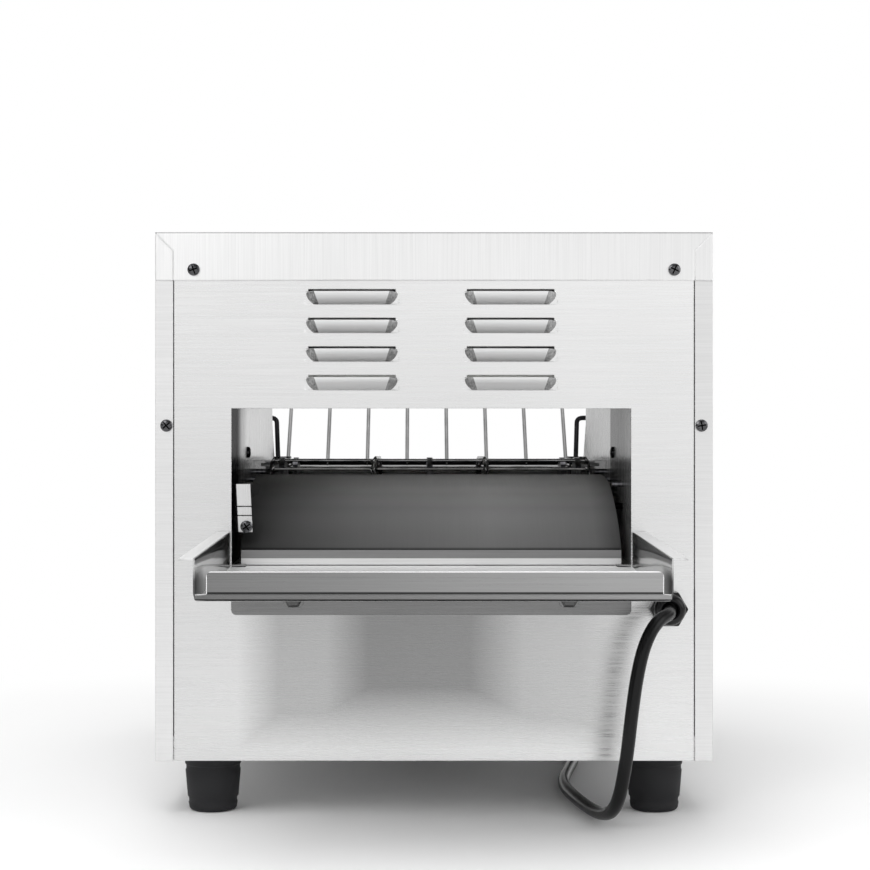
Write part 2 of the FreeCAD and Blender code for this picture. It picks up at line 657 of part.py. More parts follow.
def inner_wall(label, side):
    """One wall of the tunnel, from the base pan up past the upper heaters."""
    body = body_at(label, x="tunnel_x")
    low, high = ("half_tunnel", "wall_outer") if side > 0 else ("-wall_outer", "-half_tunnel")
    front = "upper_depth - skin / cos(slope) - wall_gap"
    pad(body, "YZ", low, high, [
        ("rear_inner", "foot_height + base_lip"), ("rear_inner + skin", "foot_height + base_lip"),
        ("rear_inner + skin", "base_top"), ("wall_foot_depth", "base_top"),
        ("wall_foot_depth", "console_height"),
        (f"{front} + (shoulder_height - wall_knee) * tan(slope)", "wall_knee"),
        (front, "shoulder_height"), ("upper_depth - 2 * skin", "shoulder_height"),
        ("upper_depth - 2 * skin", "wall_top"), ("rear_inner", "wall_top")])
    holes = [(y, z, "cap_radius + hole_gap") for y, z in heater_places()]
    holes += [(y, "belt_axis_height", "bush_radius + hole_gap")
              for y in ("belt_axis_depth", "idler_depth")]
    holes += [(y, "guard_height", "guard_wire / 2 + hole_gap") for y in ("guard_start", "guard_end")]
    holes += [(y, z, "slide_rod_radius + hole_gap") for y, z in slide_rod_places()]
    holes += [("wall_screw_depth", "wall_screw_height", "screw_radius + hole_gap")]
    pocket(body, "YZ", f"{low} - skin", f"{high} + skin", *holes)
    return piece(label, body)


def chamber():
    inner_wall("left_inner_wall", -1)
    inner_wall("right_inner_wall", 1)
    shield = body_at("chamber_floor", x="tunnel_x")
    drop = "shield_top - shield_edge"
    edge = "half_tunnel"
    pad(shield, "XZ", "rear_inner + skin", "shield_depth",
        folded("shield", [(edge, drop), (edge, "shield_top"),
                          (f"-{edge}", "shield_top"), (f"-{edge}", drop)], "skin"))
    piece("chamber_floor", shield)
    heaters()
    reflectors()
    heater_guard()


def upper_heaters():
    return [(f"upper_heater_depth + {row} * upper_heater_pitch", "upper_heater_height")
            for row in range(3)]


def lower_heaters():
    return [(f"lower_heater_depth + {row} * lower_heater_pitch", "lower_heater_height")
            for row in range(2)]


def heater_places():
    return upper_heaters() + lower_heaters()


def heaters():
    """Quartz tubes between ceramic end caps that sit in holes of the inner walls."""
    reach = "half_tunnel - cap_inset"
    for label, places in (("upper_heater_tubes", upper_heaters()),
                          ("lower_heater_tubes", lower_heaters())):
        tubes = [rod("QuartzTube", "x", "heater_radius", (f"tunnel_x - ({reach})",
                                                          f"tunnel_x + {reach}"), at)
                 for at in places]
        piece(label, group(label.title().replace("_", ""), *tubes))
    caps = []
    for at in heater_places():
        for side in (-1, 1):
            start, end = f"{reach}", f"{reach} + cap_length"
            flange, edge = "wall_outer", "wall_outer + cap_flange_width"
            caps.append(fuse("EndCap",
                             rod("CapBarrel", "x", "cap_radius", across(side, start, end), at),
                             rod("CapFlange", "x", "cap_flange", across(side, flange, edge), at)))
    piece("heater_end_caps", group("HeaterEndCaps", *caps))


def across(side, near, far):
    """Limits along X of a piece on one side of the tunnel, given from its middle outwards."""
    if side > 0:
        return f"tunnel_x + {near}", f"tunnel_x + {far}"
    return f"tunnel_x - ({far})", f"tunnel_x - ({near})"


def reflectors():
    """Bright folded sheets behind the heaters."""
    upper = body_at("upper_reflector", x="tunnel_x")
    roof = "upper_heater_height + hood_rise"
    rear = "upper_heater_depth - hood_flat"
    front = "upper_heater_depth + 2 * upper_heater_pitch + hood_flat"
    line = [(f"{rear} - hood_flare", f"{roof} - hood_drop"), (rear, roof), (front, roof),
            (f"{front} + hood_flare", f"{roof} - hood_drop")]
    pad(upper, "YZ", "-half_tunnel", "half_tunnel", folded("hood", line, "skin"))
    piece("upper_reflector", upper)
    lower = body_at("lower_reflector", x="tunnel_x")
    floor = "lower_heater_height - dish_drop"
    rear = "lower_heater_depth - dish_flat"
    front = "lower_heater_depth + lower_heater_pitch + dish_flat"
    line = [(f"{rear} - dish_flare", f"{floor} + dish_rise"), (rear, floor), (front, floor),
            (f"{front} + dish_flare", f"{floor} + dish_rise")]
    pad(lower, "YZ", "-half_tunnel", "half_tunnel", folded("dish", line, "skin"))
    piece("lower_reflector", lower)


def heater_guard():
    """Wires under the upper tubes that keep bread off the quartz."""
    ends = across(1, "-wall_outer - skin", "wall_outer + skin")
    wires = [rod("GuardCrossRod", "x", "guard_wire / 2", ends, (y, "guard_height"))
             for y in ("guard_start", "guard_end")]
    for place in range(-3, 4):
        wires.append(rod("GuardWire", "y", "guard_wire / 2",
                         ("guard_start - guard_wire", "guard_end + guard_wire"),
                         (f"tunnel_x + {place} * guard_pitch", "guard_height - 0.9 * guard_wire")))
    piece("heater_guard", fuse("HeaterGuard", *wires))


def toothed(name, blank, gap, middle, count, ends, at):
    """Cut equal round gaps into the rim of a blank that turns about X; a flat points up."""
    gaps = []
    for turn in range(count):
        angle = (turn + 0.5) * 360 / count
        y, z = at
        gaps.append(rod(f"{name}Gap", "x", gap, ends, (f"{y} + ({middle}) * sin({angle})",
                                                       f"{z} + ({middle}) * cos({angle})")))
    return cut(name, blank, *gaps)


def sprocket(name, x, at, radius, tip, gap, seat, width, hub_ends):
    """A toothed disc on a hub, around an axis along X."""
    half = f"({width}) / 2"
    disc_ends = (f"{x} - {half}", f"{x} + {half}")
    low, high = [f"{x} + ({end})" for end in hub_ends]
    disc = rod(f"{name}Disc", "x", f"{radius} + {tip}", disc_ends, at)
    wheel = toothed(f"{name}Teeth", disc, gap, f"{radius} - {seat} - 2 * fit_gap + {gap}", TEETH,
                    disc_ends, at)
    hub = rod(f"{name}Hub", "x", "hub_radius", (low, high), at)
    bore = rod(f"{name}Bore", "x", "shaft_radius + fit_gap / 2",
               (f"{low} - skin", f"{high} + skin"), at)
    return cut(name, fuse(f"{name}Blank", wheel, hub), bore)


def conveyor():
    """Two shafts with three sprockets each, in bushes in the inner walls."""
    shaft_end = "wall_outer + bush_flange_width + shaft_overhang"
    drive_end = "chain_plane + chain_wheel_width + shaft_overhang"
    piece("drive_shaft", rod("DriveShaft", "x", "shaft_radius",
                             (f"tunnel_x - ({shaft_end})", f"tunnel_x + {drive_end}"),
                             ("belt_axis_depth", "belt_axis_height")))
    piece("idler_shaft", rod("IdlerShaft", "x", "shaft_radius",
                             (f"tunnel_x - ({shaft_end})", f"tunnel_x + {shaft_end}"),
                             ("idler_depth", "belt_axis_height")))
    for label, y in (("drive_sprockets", "belt_axis_depth"), ("idler_sprockets", "idler_depth")):
        wheels = [sprocket("BeltSprocket", f"tunnel_x + {side} * sprocket_side",
                           (y, "belt_axis_height"), "belt_radius", "tooth_tip", "tooth_gap",
                           "wire_radius", "sprocket_width", ("-hub_width / 2", "hub_width / 2"))
                  for side in (-1, 0, 1)]
        piece(label, group(label.title().replace("_", ""), *wheels))
    bushes = []
    for y in ("belt_axis_depth", "idler_depth"):
        for side in (-1, 1):
            at = (y, "belt_axis_height")
            sleeve = rod("BushSleeve", "x", "bush_radius",
                         across(side, "half_tunnel - skin", "wall_outer"), at)
            flange = rod("BushFlange", "x", "bush_flange",
                         across(side, "wall_outer", "wall_outer + bush_flange_width"), at)
            bore = rod("BushBore", "x", "shaft_radius + fit_gap",
                       across(side, "half_tunnel - 2 * skin",
                              "wall_outer + bush_flange_width + skin"), at)
            bushes.append(cut("Bush", fuse("BushBlank", sleeve, flange), bore))
    piece("shaft_bushes", group("ShaftBushes", *bushes))
    guide_rails()
    belt()


def guide_rails():
    """Side rails beside the belt's upper run, on pins in the inner walls."""
    for label, side in (("left_guide_rail", -1), ("right_guide_rail", 1)):
        ends = across(side, "half_tunnel - rail_width", "half_tunnel")
        bar = block("RailBar", ends, ("rail_start", "rail_end"), ("rail_low", "rail_top"))
        groove = block("RailGroove", across(side, "half_tunnel - rail_width - skin",
                                            "half_tunnel - 0.6 * rail_width"),
                       ("rail_start - skin", "rail_end + skin"),
                       ("rail_low + 0.35 * rail_height", "rail_low + 0.65 * rail_height"))
        piece(label, cut(label.title().replace("_", ""), bar, groove))
    pins = []
    for y in ("rail_start + 3 * pin_radius", "rail_end - 8 * pin_radius"):
        for side in (-1, 1):
            ends = across(side, "half_tunnel - rail_width + skin / 2", "half_tunnel")
            pins.append(rod("RailPin", "x", "pin_radius", ends,
                            (y, "rail_low - pin_radius - fit_gap")))
    pins.append(rod("SlidePin", "x", "pin_radius",
                    across(1, "half_tunnel - slide_pin_reach", "half_tunnel"),
                    ("slide_pin_depth", "slide_pin_height")))
    piece("wall_pins", group("WallPins", *pins))


def loop_places(teeth, links, pitch):
    """Places of a chain's joints round two equal sprockets, from the first sprocket's middle.

    The second sprocket lies along the first direction.  Each place is (along, up).
    """
    radius = pitch / (2 * math.sin(math.pi / teeth))
    step = 2 * math.pi / teeth
    span = links * pitch
    places = []
    for turn in range(teeth // 2 + 1):
        angle = step * (turn + 0.5) - step
        places.append((-radius * math.sin(angle), radius * math.cos(angle)))
    low = -radius * math.cos(step / 2)
    start = radius * math.sin(step / 2)
    places += [(start + index * pitch, low) for index in range(links)]
    for turn in range(teeth // 2 + 1)[1:]:
        angle = step * (turn - 0.5)
        places.append((span + radius * math.sin(angle), -radius * math.cos(angle)))
    places += [(span - start - index * pitch, -low) for index in range(links - 1)]
    return places


def belt():
    """The wire belt at rest: cross wires, each with short legs that hook round the next one."""
    radius = number("wire_radius")
    half = number("belt_width / 2") - radius
    joint = number("belt_joint / 2")
    pitch = number("belt_pitch")
    wire = Part.makeCylinder(radius, 2 * half, Vector(-half, 0, 0), Vector(1, 0, 0))
    leg = pitch - radius - number("fit_gap")
    legs = [Part.makeCylinder(0.85 * radius, leg, Vector(x, 0, 0), Vector(0, 1, 0))
            for x in (-half + radius, -joint, joint, half - radius)]
    strand = wire.multiFuse(legs)
    middle = Vector(number("tunnel_x"), number(depth("belt_axis_depth")),
                    number("belt_axis_height"))
    spots = [middle + Vector(0, along, up) for along, up in loop_places(TEETH, TOP_LINKS, pitch)]
    strands = []
    for here, there in zip(spots, spots[1:] + spots[:1]):
        strands.append(strand.copy())
        strands[-1].Placement = Placement(here, Rotation(Vector(0, 1, 0), there - here))
    feature = doc.addObject("Part::Feature", "ConveyorBelt")
    feature.Shape = Part.makeCompound(strands)
    feature.Placement = Placement()
    piece("conveyor_belt", feature)


def chain_link(inner_side, plate, barrel, bore):
    """One link along +Y: two plates, and two barrels across, with a bore if they are rollers."""
    pitch, end = number("chain_pitch"), number("link_radius")
    half = inner_side + plate
    parts = []
    for x in (-half, inner_side):
        parts.append(Part.makeBox(plate, pitch, 1.4 * end, Vector(x, 0, -0.7 * end)))
        parts += [Part.makeCylinder(end, plate, Vector(x, y, 0), Vector(1, 0, 0))
                  for y in (0, pitch)]
    parts += [Part.makeCylinder(barrel, 2 * half, Vector(-half, y, 0), Vector(1, 0, 0))
              for y in (0, pitch)]
    link = parts[0].multiFuse(parts[1:])
    if bore:
        link = link.cut(Part.makeCompound([
            Part.makeCylinder(bore, 2 * half, Vector(-half, y, 0), Vector(1, 0, 0))
            for y in (0, pitch)]))
    return link.removeSplitter()


def chain_drive():
    """Roller chain from the gear motor up to the rear belt shaft."""
    ends = ("-chain_wheel_width / 2", "chain_wheel_width / 2 + 3 * skin")
    for label, z in (("shaft_chain_sprocket", "belt_axis_height"),
                     ("motor_chain_sprocket", "motor_height")):
        piece(label, sprocket("ChainSprocket", "tunnel_x + chain_plane", ("belt_axis_depth", z),
                              "chain_radius", "chain_tip", "chain_gap", "roller_radius",
                              "chain_wheel_width", ends))
    middle = Vector(number("tunnel_x + chain_plane"), number(depth("belt_axis_depth")),
                    number("belt_axis_height"))
    half, plate, gap = number("roller_width / 2"), number("link_plate"), number("fit_gap")
    inner = chain_link(half, plate, number("roller_radius"), number("chain_pin + fit_gap"))
    outer = chain_link(half + plate + gap, plate, number("chain_pin"), None)
    spots = [middle + Vector(0, up, -along)
             for along, up in loop_places(TEETH, CHAIN_LINKS, number("chain_pitch"))]
    links = []
    for index, (here, there) in enumerate(zip(spots, spots[1:] + spots[:1])):
        links.append((outer if index % 2 else inner).copy())
        links[-1].Placement = Placement(here, Rotation(Vector(0, 1, 0), there - here))
    feature = doc.addObject("Part::Feature", "DriveChain")
    feature.Shape = Part.makeCompound(links)
    feature.Placement = Placement()
    piece("drive_chain", feature)
    motor()


def motor():
    """Gear motor on a plate on the right inner wall, its shaft pointing outwards."""
    at = ("belt_axis_depth", "motor_height")
    plate_end = "wall_outer + bracket_skin"
    motor_end = f"{plate_end} + motor_width"
    case_end = f"{motor_end} + gearbox_width"
    plate = block("BracketPlate", across(1, "wall_outer", plate_end),
                  ("belt_axis_depth - bracket_size / 2", "belt_axis_depth + bracket_size / 2"),
                  ("motor_height - bracket_size / 2", "motor_height + bracket_size / 2"))
    window = rod("BracketWindow", "x", "0.4 * motor_radius",
                 across(1, "half_tunnel", f"{plate_end} + skin"), at)
    piece("motor_bracket", cut("MotorBracket", plate, window))
    drum = rod("MotorDrum", "x", "motor_radius", across(1, plate_end, motor_end), at)
    case = rod("GearCase", "x", "gearbox_radius", across(1, motor_end, case_end), at)
    bore = rod("MotorBore", "x", "shaft_radius + fit_gap",
               across(1, f"{motor_end} - 8 * skin", f"{case_end} + skin"), at)
    piece("gear_motor", cut("GearMotor", fuse("MotorBlank", drum, case), bore))
    piece("motor_shaft", rod("MotorShaft", "x", "shaft_radius",
                             across(1, f"{motor_end} - 6 * skin",
                                    "chain_plane + chain_wheel_width + shaft_overhang"), at))


SLIDE_LINE = [(f"slide_{name}_depth", f"slide_{name}_height")
              for name in ("lip", "curl", "foot", "low", "knee", "mid", "high", "brow", "top")]


def slide_rod_places():
    """Two rods just under the toast slide, where they touch its lower face."""
    places = []
    for y, first in (("low_rod_depth", 4), ("high_rod_depth", 7)):
        (start, low), (end, high) = SLIDE_LINE[first:first + 2]
        rise = f"({high} - {low}) / ({end} - {start})"
        surface = f"{low} + ({y} - {start}) * {rise}"
        places.append((y, f"{surface} - (skin + slide_rod_radius + fit_gap) / cos(atan({rise}))"))
    return places


def toast_exit():
    """Slide, its rods and bracket, and the tray that the toast ends up on."""
    slide = body_at("toast_slide", x="tunnel_x")
    pad(slide, "YZ", "-slide_width / 2", "slide_width / 2",
        folded("chute", SLIDE_LINE[::-1], "skin"))
    piece("toast_slide", slide)
    rods = [rod("SlideRod", "x", "slide_rod_radius",
                across(1, "-wall_outer - 2 * skin", "wall_outer + 2 * skin"), at)
            for at in slide_rod_places()]
    piece("slide_support_rods", group("SlideRods", *rods))
    bracket = body_at("slide_bracket", x="tunnel_x")
    pad(bracket, "XY", "ear_low", "ear_high",
        folded("ear", [("-half_tunnel", "ear_depth + ear_fold"), ("-half_tunnel", "ear_depth"),
                       ("ear_width - half_tunnel", "ear_depth")], "skin"))
    piece("slide_bracket", bracket)
    toast_tray()
    tray_runners()


def toast_tray():
    """The rear tray, leaning down outwards; its tongue goes in between the runners."""
    body = body_at("toast_tray", x="tunnel_x", z="tray_height", lean="tray_lean")
    wall = "tray_width / 2"
    wing = f"{wall} + tray_wing"
    line = [(f"-({wing})", "tray_wall"), (f"-({wall})", "tray_wall"), (f"-({wall})", "-skin"),
            (wall, "-skin"), (wall, "tray_wall"), (wing, "tray_wall")]
    pad(body, "XZ", "-tray_reach", "skin / 2", folded("channel", line, "skin"))
    fold_start = "lip_bend - tray_reach"
    pocket(body, "XZ", "-tray_reach - skin", fold_start,
           rectangle(f"-({wall})", wall, "-2 * skin", "skin / 2"))
    pad(body, "YZ", "-lip_width / 2", "lip_width / 2",
        folded("lip", [("-tray_reach", "lip_height"), ("-tray_reach", "lip_bend - skin"),
                       (fold_start, "-skin"), (f"{fold_start} + skin", "-skin")], "skin"))
    pad(body, "XY", "-skin", "0",
        rectangle("-tongue_width / 2", "tongue_width / 2", "0", "tongue_length"))
    return piece("toast_tray", body)


def tray_runners():
    """Channels on the inner walls that hold the tray's tongue above and below."""
    runners = []
    for side in (-1, 1):
        body = body_at("TrayRunner", x="tunnel_x", z="tray_height", lean="tray_lean")
        outer, inner, lip = (f"{side} * half_tunnel", f"{side} * (half_tunnel - runner_width)",
                             f"{side} * (half_tunnel - runner_lip - 2 * skin)")
        line = [(inner, "-skin - runner_gap - skin"), (outer, "-skin - runner_gap - skin"),
                (outer, "runner_gap + skin"), (lip, "runner_gap + skin")]
        name = "runner_right" if side > 0 else "runner_left"
        thickness = "skin" if side > 0 else "-skin"
        pad(body, "XZ", "rear_inner + skin", "tongue_length - 2 * skin",
            folded(name, line, thickness))
        runners.append(body)
    piece("tray_runners", group("TrayRunners", *runners))


def crumb_tray():
    """A shallow pan under the belt that pulls out under the toast tray."""
    body = body_at("crumb_tray", x="tunnel_x")
    wall = "crumb_width / 2"
    floor = "shield_top + runner_gap"
    line = [(f"-{wall}", f"{floor} + crumb_wall"), (f"-{wall}", floor), (wall, floor),
            (wall, f"{floor} + crumb_wall")]
    pad(body, "XZ", "skin", "crumb_length", folded("crumb_pan", line, "skin"))
    pad(body, "XZ", "crumb_length - skin", "crumb_length",
        rectangle(f"-{wall}", wall, floor, f"{floor} + crumb_wall"))
    low, high, corner = "crumb_face_low", "crumb_face_high", "crumb_corner"
    edge = "half_tunnel"
    face = [(f"-{edge}", high), (f"-{edge}", f"{low} + {corner}")]
    face += [(f"-{edge} + {corner} * (1 - cos({turn}))", f"{low} + {corner} * (1 - sin({turn}))")
             for turn in (30, 60)]
    face += [(f"-{edge} + {corner}", low), (f"{edge} - {corner}", low)]
    face += [(f"{edge} - {corner} * (1 - cos({turn}))", f"{low} + {corner} * (1 - sin({turn}))")
             for turn in (60, 30)]
    face += [(edge, f"{low} + {corner}"), (edge, high)]
    pad(body, "XZ", "0", "skin", face)
    for side in (-1, 1):
        tab = f"{side} * tab_side"
        half = "tab_width / 2"
        pad(body, "XZ", "-skin", "0",
            [(f"{tab} - {half}", "tab_top"), (f"{tab} - {half} + skin", "tab_low + 2 * skin"),
             (f"{tab} - {half} + 3 * skin", "tab_low"), (f"{tab} + {half} - 3 * skin", "tab_low"),
             (f"{tab} + {half} - skin", "tab_low + 2 * skin"), (f"{tab} + {half}", "tab_top")])
    return piece("crumb_tray", body)


def hook_places():
    return [f"rack_x + {side} * rack_hook_side" for side in (-1, 1)]


def loading_rack():
    """Eight leaning bread wires on two cross rods, and side rods that hook into the front."""
    rise = "rack_top_height - rack_foot_height"
    wires = []
    for place in range(8):
        wire = doc.addObject("Part::Cylinder", "BreadWire")
        wire.Placement = Placement(Vector(), Rotation(Vector(1, 0, 0), -number("rack_lean")))
        tie(wire, "Placement.Rotation.Angle", "-rack_lean")
        tie(wire, "Radius", "rack_wire / 2")
        tie(wire, "Height", f"({rise}) / cos(rack_lean)")
        tie(wire, "Placement.Base.x", f"rack_x + {place - 3.5} * rack_pitch")
        tie(wire, "Placement.Base.y", depth("rack_foot_depth"))
        tie(wire, "Placement.Base.z", "rack_foot_height")
        wires.append(wire)
    derive("rack_hook_depth",
           "rack_foot_depth + (rack_hook_height - rack_foot_height) * tan(rack_lean)")
    foot = ("rack_foot_depth", "rack_foot_height")
    hook = ("rack_hook_depth", "rack_hook_height")
    radius = "rack_rod / 2"
    ends = ("rack_x - rack_side", "rack_x + rack_side")
    wires.append(rod("RackFoot", "x", radius, ends, foot))
    wires.append(rod("RackTop", "x", radius, ("rack_x - 3.7 * rack_pitch", "rack_x + 3.7 * rack_pitch"),
                     ("rack_top_depth", "rack_top_height")))
    for side in (-1, 1):
        upright = doc.addObject("Part::Cylinder", "SideRod")
        upright.Placement = Placement(Vector(), Rotation(Vector(1, 0, 0), -number("rack_lean")))
        tie(upright, "Placement.Rotation.Angle", "-rack_lean")
        tie(upright, "Radius", radius)
        tie(upright, "Height", "(rack_hook_height - rack_foot_height) / cos(rack_lean)")
        x = f"rack_x + {side} * rack_side"
        tie(upright, "Placement.Base.x", x)
        tie(upright, "Placement.Base.y", depth("rack_foot_depth"))
        tie(upright, "Placement.Base.z", "rack_foot_height")
        hook_x = f"rack_x + {side} * rack_hook_side"
        outward = rod("RackOutward", "x", radius, (x, hook_x)[::side], hook)
        hook_rod = rod("RackHook", "y", radius, ("upper_depth - 8 * skin", "rack_hook_depth"),
                       (hook_x, "rack_hook_height"))
        wires += [upright, outward, hook_rod]
        for spot_x, (spot_y, spot_z) in ((x, foot), (x, hook), (hook_x, hook)):
            ball = doc.addObject("Part::Sphere", "RodBend")
            tie(ball, "Radius", radius)
            tie(ball, "Placement.Base.x", spot_x)
            tie(ball, "Placement.Base.y", depth(spot_y))
            tie(ball, "Placement.Base.z", spot_z)
            wires.append(ball)
    return piece("loading_rack", fuse("LoadingRack", *wires))


def knob(label, x):
    """A round knob with a skirt and a fluted grip, bored for its spindle."""
    at = (x, "control_height")
    start = "body_depth + knob_gap"
    skirt = rod("KnobSkirt", "y", "knob_radius", (start, f"{start} + 0.35 * knob_depth"), at)
    grip = rod("KnobGrip", "y", "0.8 * knob_radius", (start, "knob_reach"), at)
    flutes = []
    for turn in range(FLUTES):
        angle = turn * 360 / FLUTES
        middle = "(0.8 * knob_radius + 1.1 * skin)"
        flutes.append(rod("KnobFlute", "y", "2 * skin",
                          (f"{start} + 0.35 * knob_depth", "knob_reach + skin"),
                          (f"{x} + {middle} * sin({angle})",
                           f"control_height + {middle} * cos({angle})")))
    bore = rod("KnobBore", "y", "spindle_radius + fit_gap / 2",
               ("body_depth", f"{start} + 0.7 * knob_depth"), at)
    fluted = cut(f"{label.title()}Grip", grip, *flutes)
    return piece(label, cut(label.title(), fuse(f"{label.title()}Blank", skirt, fluted), bore))


def console():
    """Two knobs with what they turn, a lamp and the board behind the panel."""
    back = "console_inner - switch_depth"
    for side, knob_label, spindle_label, switch_label in (
            (-1, "speed_knob", "speed_spindle", "speed_control"),
            (1, "heat_selector_knob", "selector_spindle", "selector_switch")):
        x = f"{side} * control_side"
        at = (x, "control_height")
        knob(knob_label, x)
        piece(spindle_label, rod("Spindle", "y", "spindle_radius",
                                 (f"{back} + 3 * skin", "body_depth + 0.7 * knob_depth"), at))
        case = rod("SwitchCase", "y", "switch_radius", (back, "console_inner"), at)
        bore = rod("SwitchBore", "y", "spindle_radius + fit_gap",
                   (f"{back} + 2 * skin", "console_inner + skin"), at)
        piece(switch_label, cut(switch_label.title().replace("_", ""), case, bore))
    at = ("0", "control_height")
    barrel = rod("LampBarrel", "y", "lamp_radius", ("console_inner - 10 * skin", "body_depth"), at)
    lens = rod("LampLens", "y", "lamp_flange", ("body_depth", "body_depth + lamp_proud"), at)
    piece("indicator_lamp", fuse("IndicatorLamp", barrel, lens))
    control_board()


COMPONENTS = [(10.0, 10.0, 24.0, 20.0, 22.0), (42.0, 8.0, 14.0, 24.0, 15.0),
              (64.0, 12.0, 18.0, 12.0, 9.0)]
"""Larger components: place from the board's rear left corner, width, length and height."""


def control_board():
    """Speed control board on four posts on the base pan, with its larger components."""
    left, right = "board_x - board_width / 2", "board_x + board_width / 2"
    front = "board_start + board_length"
    top = "base_top + board_rise"
    board = block("Board", (left, right), ("board_start", front), (top, f"{top} + board_skin"))
    posts = [rod("BoardPost", "z", "post_radius", ("base_top", top), (x, y))
             for x in (f"{left} + post_inset", f"{right} - post_inset")
             for y in ("board_start + post_inset", f"{front} - post_inset")]
    parts = []
    for x, y, width, length, height in COMPONENTS:
        parts.append(block("Component", (f"{left} + {x}", f"{left} + {x + width}"),
                           (f"board_start + {y}", f"board_start + {y + length}"),
                           (f"{top} + board_skin", f"{top} + board_skin + {height}")))
    piece("control_board", fuse("ControlBoard", board, *posts, *parts))


def fan():
    """Cooling fan that lies on the base pan over its slots."""
    middle = ("tunnel_x", "fan_depth")
    half = "fan_size / 2"
    frame = block("FanFrame", (f"tunnel_x - {half}", f"tunnel_x + {half}"),
                  (f"fan_depth - {half}", f"fan_depth + {half}"),
                  ("base_top", "base_top + fan_height"))
    bore = rod("FanBore", "z", "fan_bore", ("base_top - skin", "base_top + fan_height + skin"),
               middle)
    shell = cut("FanShell", frame, bore)
    arm = "fan_arm / 2"
    levels = ("base_top", "base_top + fan_arm_skin")
    arms = [block("FanArmX", (f"tunnel_x - {half}", f"tunnel_x + {half}"),
                  (f"fan_depth - {arm}", f"fan_depth + {arm}"), levels),
            block("FanArmY", (f"tunnel_x - {arm}", f"tunnel_x + {arm}"),
                  (f"fan_depth - {half}", f"fan_depth + {half}"), levels)]
    seat = rod("FanSeat", "z", "fan_hub", ("base_top", "base_top + fan_seat"), middle)
    pin = rod("FanPin", "z", "fan_pin", ("base_top", "base_top + fan_pin_height"), middle)
    piece("fan_housing", fuse("FanHousing", shell, seat, pin, *arms))
    levels = ("base_top + fan_seat + skin / 2", "base_top + fan_height - fan_margin")
    hub = rod("RotorHub", "z", "fan_hub", levels, middle)
    socket = rod("RotorSocket", "z", "fan_pin + fit_gap",
                 ("base_top + fan_seat", "base_top + fan_pin_height + skin"), middle)
    blades = []
    for turn in range(FAN_BLADES):
        blade = doc.addObject("Part::Box", "FanBlade")
        around = Rotation(Vector(0, 0, 1), 360 / FAN_BLADES * turn)
        lean = Rotation(Vector(1, 0, 0), number("blade_lean"))
        blade.Placement = Placement(Vector(), around.multiply(lean))
        tie(blade, "Length", "fan_tip - skin / 2")
        tie(blade, "Width", "blade_chord")
        tie(blade, "Height", "blade_skin")
        tie(blade, "Placement.Base.x", "tunnel_x")
        tie(blade, "Placement.Base.y", depth("fan_depth"))
        tie(blade, "Placement.Base.z", "base_top + blade_foot")
        blades.append(blade)
    sweep = rod("RotorSweep", "z", "fan_tip", levels, middle)
    fins = doc.addObject("Part::MultiCommon", "RotorFins")
    fins.Shapes = [fuse("RotorBlades", hub, *blades), sweep]
    piece("fan_rotor", cut("FanRotor", fins, socket))


def cable_entry():
    """Gland through the rear panel, with its dome nut outside and its locknut inside."""
    at = ("gland_x", "gland_height")
    bore_radius = "cord_radius + cord_gap"
    collar_end = "skin - gland_collar"

    def hex_body(name, low, high):
        body = body_at(name)
        pad(body, "XZ", low, high, hexagon("gland_x", "gland_height", "gland_flats"))
        return body

    thread = rod("GlandThread", "y", "gland_thread", ("skin / 2", "10 * skin"), at)
    bore = rod("GlandBore", "y", bore_radius, ("-gland_reach - skin", "12 * skin"), at)
    blank = fuse("GlandBlank", hex_body("GlandCollar", collar_end, "skin"), thread)
    piece("cord_gland", cut("CordGland", blank, bore))
    nut_end = f"{collar_end} - 0.6 * gland_collar"
    dome = doc.addObject("Part::Cone", "GlandDome")
    dome.Placement = Placement(Vector(), Rotation(Vector(1, 0, 0), 90))
    tie(dome, "Radius1", "gland_flats / 2 - skin / 2")
    tie(dome, "Radius2", "cord_radius + 2.4 * skin")
    tie(dome, "Height", f"({nut_end}) + gland_reach")
    tie(dome, "Placement.Base.x", "gland_x")
    tie(dome, "Placement.Base.y", depth(nut_end))
    tie(dome, "Placement.Base.z", "gland_height")
    mouth = rod("NutBore", "y", bore_radius, ("-gland_reach - skin", "0"), at)
    nut = fuse("NutBlank", hex_body("NutHexagon", nut_end, collar_end), dome)
    piece("gland_nut", cut("GlandNut", nut, mouth))
    ring = hex_body("LockHexagon", "rear_inner", "rear_inner + 4 * skin")
    clear = rod("LockBore", "y", "gland_thread + fit_gap", ("0", "rear_inner + 5 * skin"), at)
    piece("gland_locknut", cut("GlandLocknut", ring, clear))


CORD_ROUTE = [
    (153.8, 6.0, 138.9), (153.8, -30.0, 138.9), (141.5, -45.5, 135.4), (133.0, -51.5, 122.5),
    (127.8, -54.0, 104.0), (124.0, -55.0, 79.0), (120.5, -54.0, 46.0), (116.0, -42.0, 14.5),
    (109.0, -15.0, 4.9), (98.0, 38.0, 4.9), (92.0, 96.0, 4.9), (101.0, 152.0, 4.9),
    (112.0, 208.0, 4.9), (106.0, 265.0, 4.9), (91.0, 318.0, 4.9), (82.0, 372.0, 4.9),
    (85.0, 423.0, 4.9), (89.0, 456.0, 4.9),
]
"""Middle line of the power cord: across, depth and height of each point."""


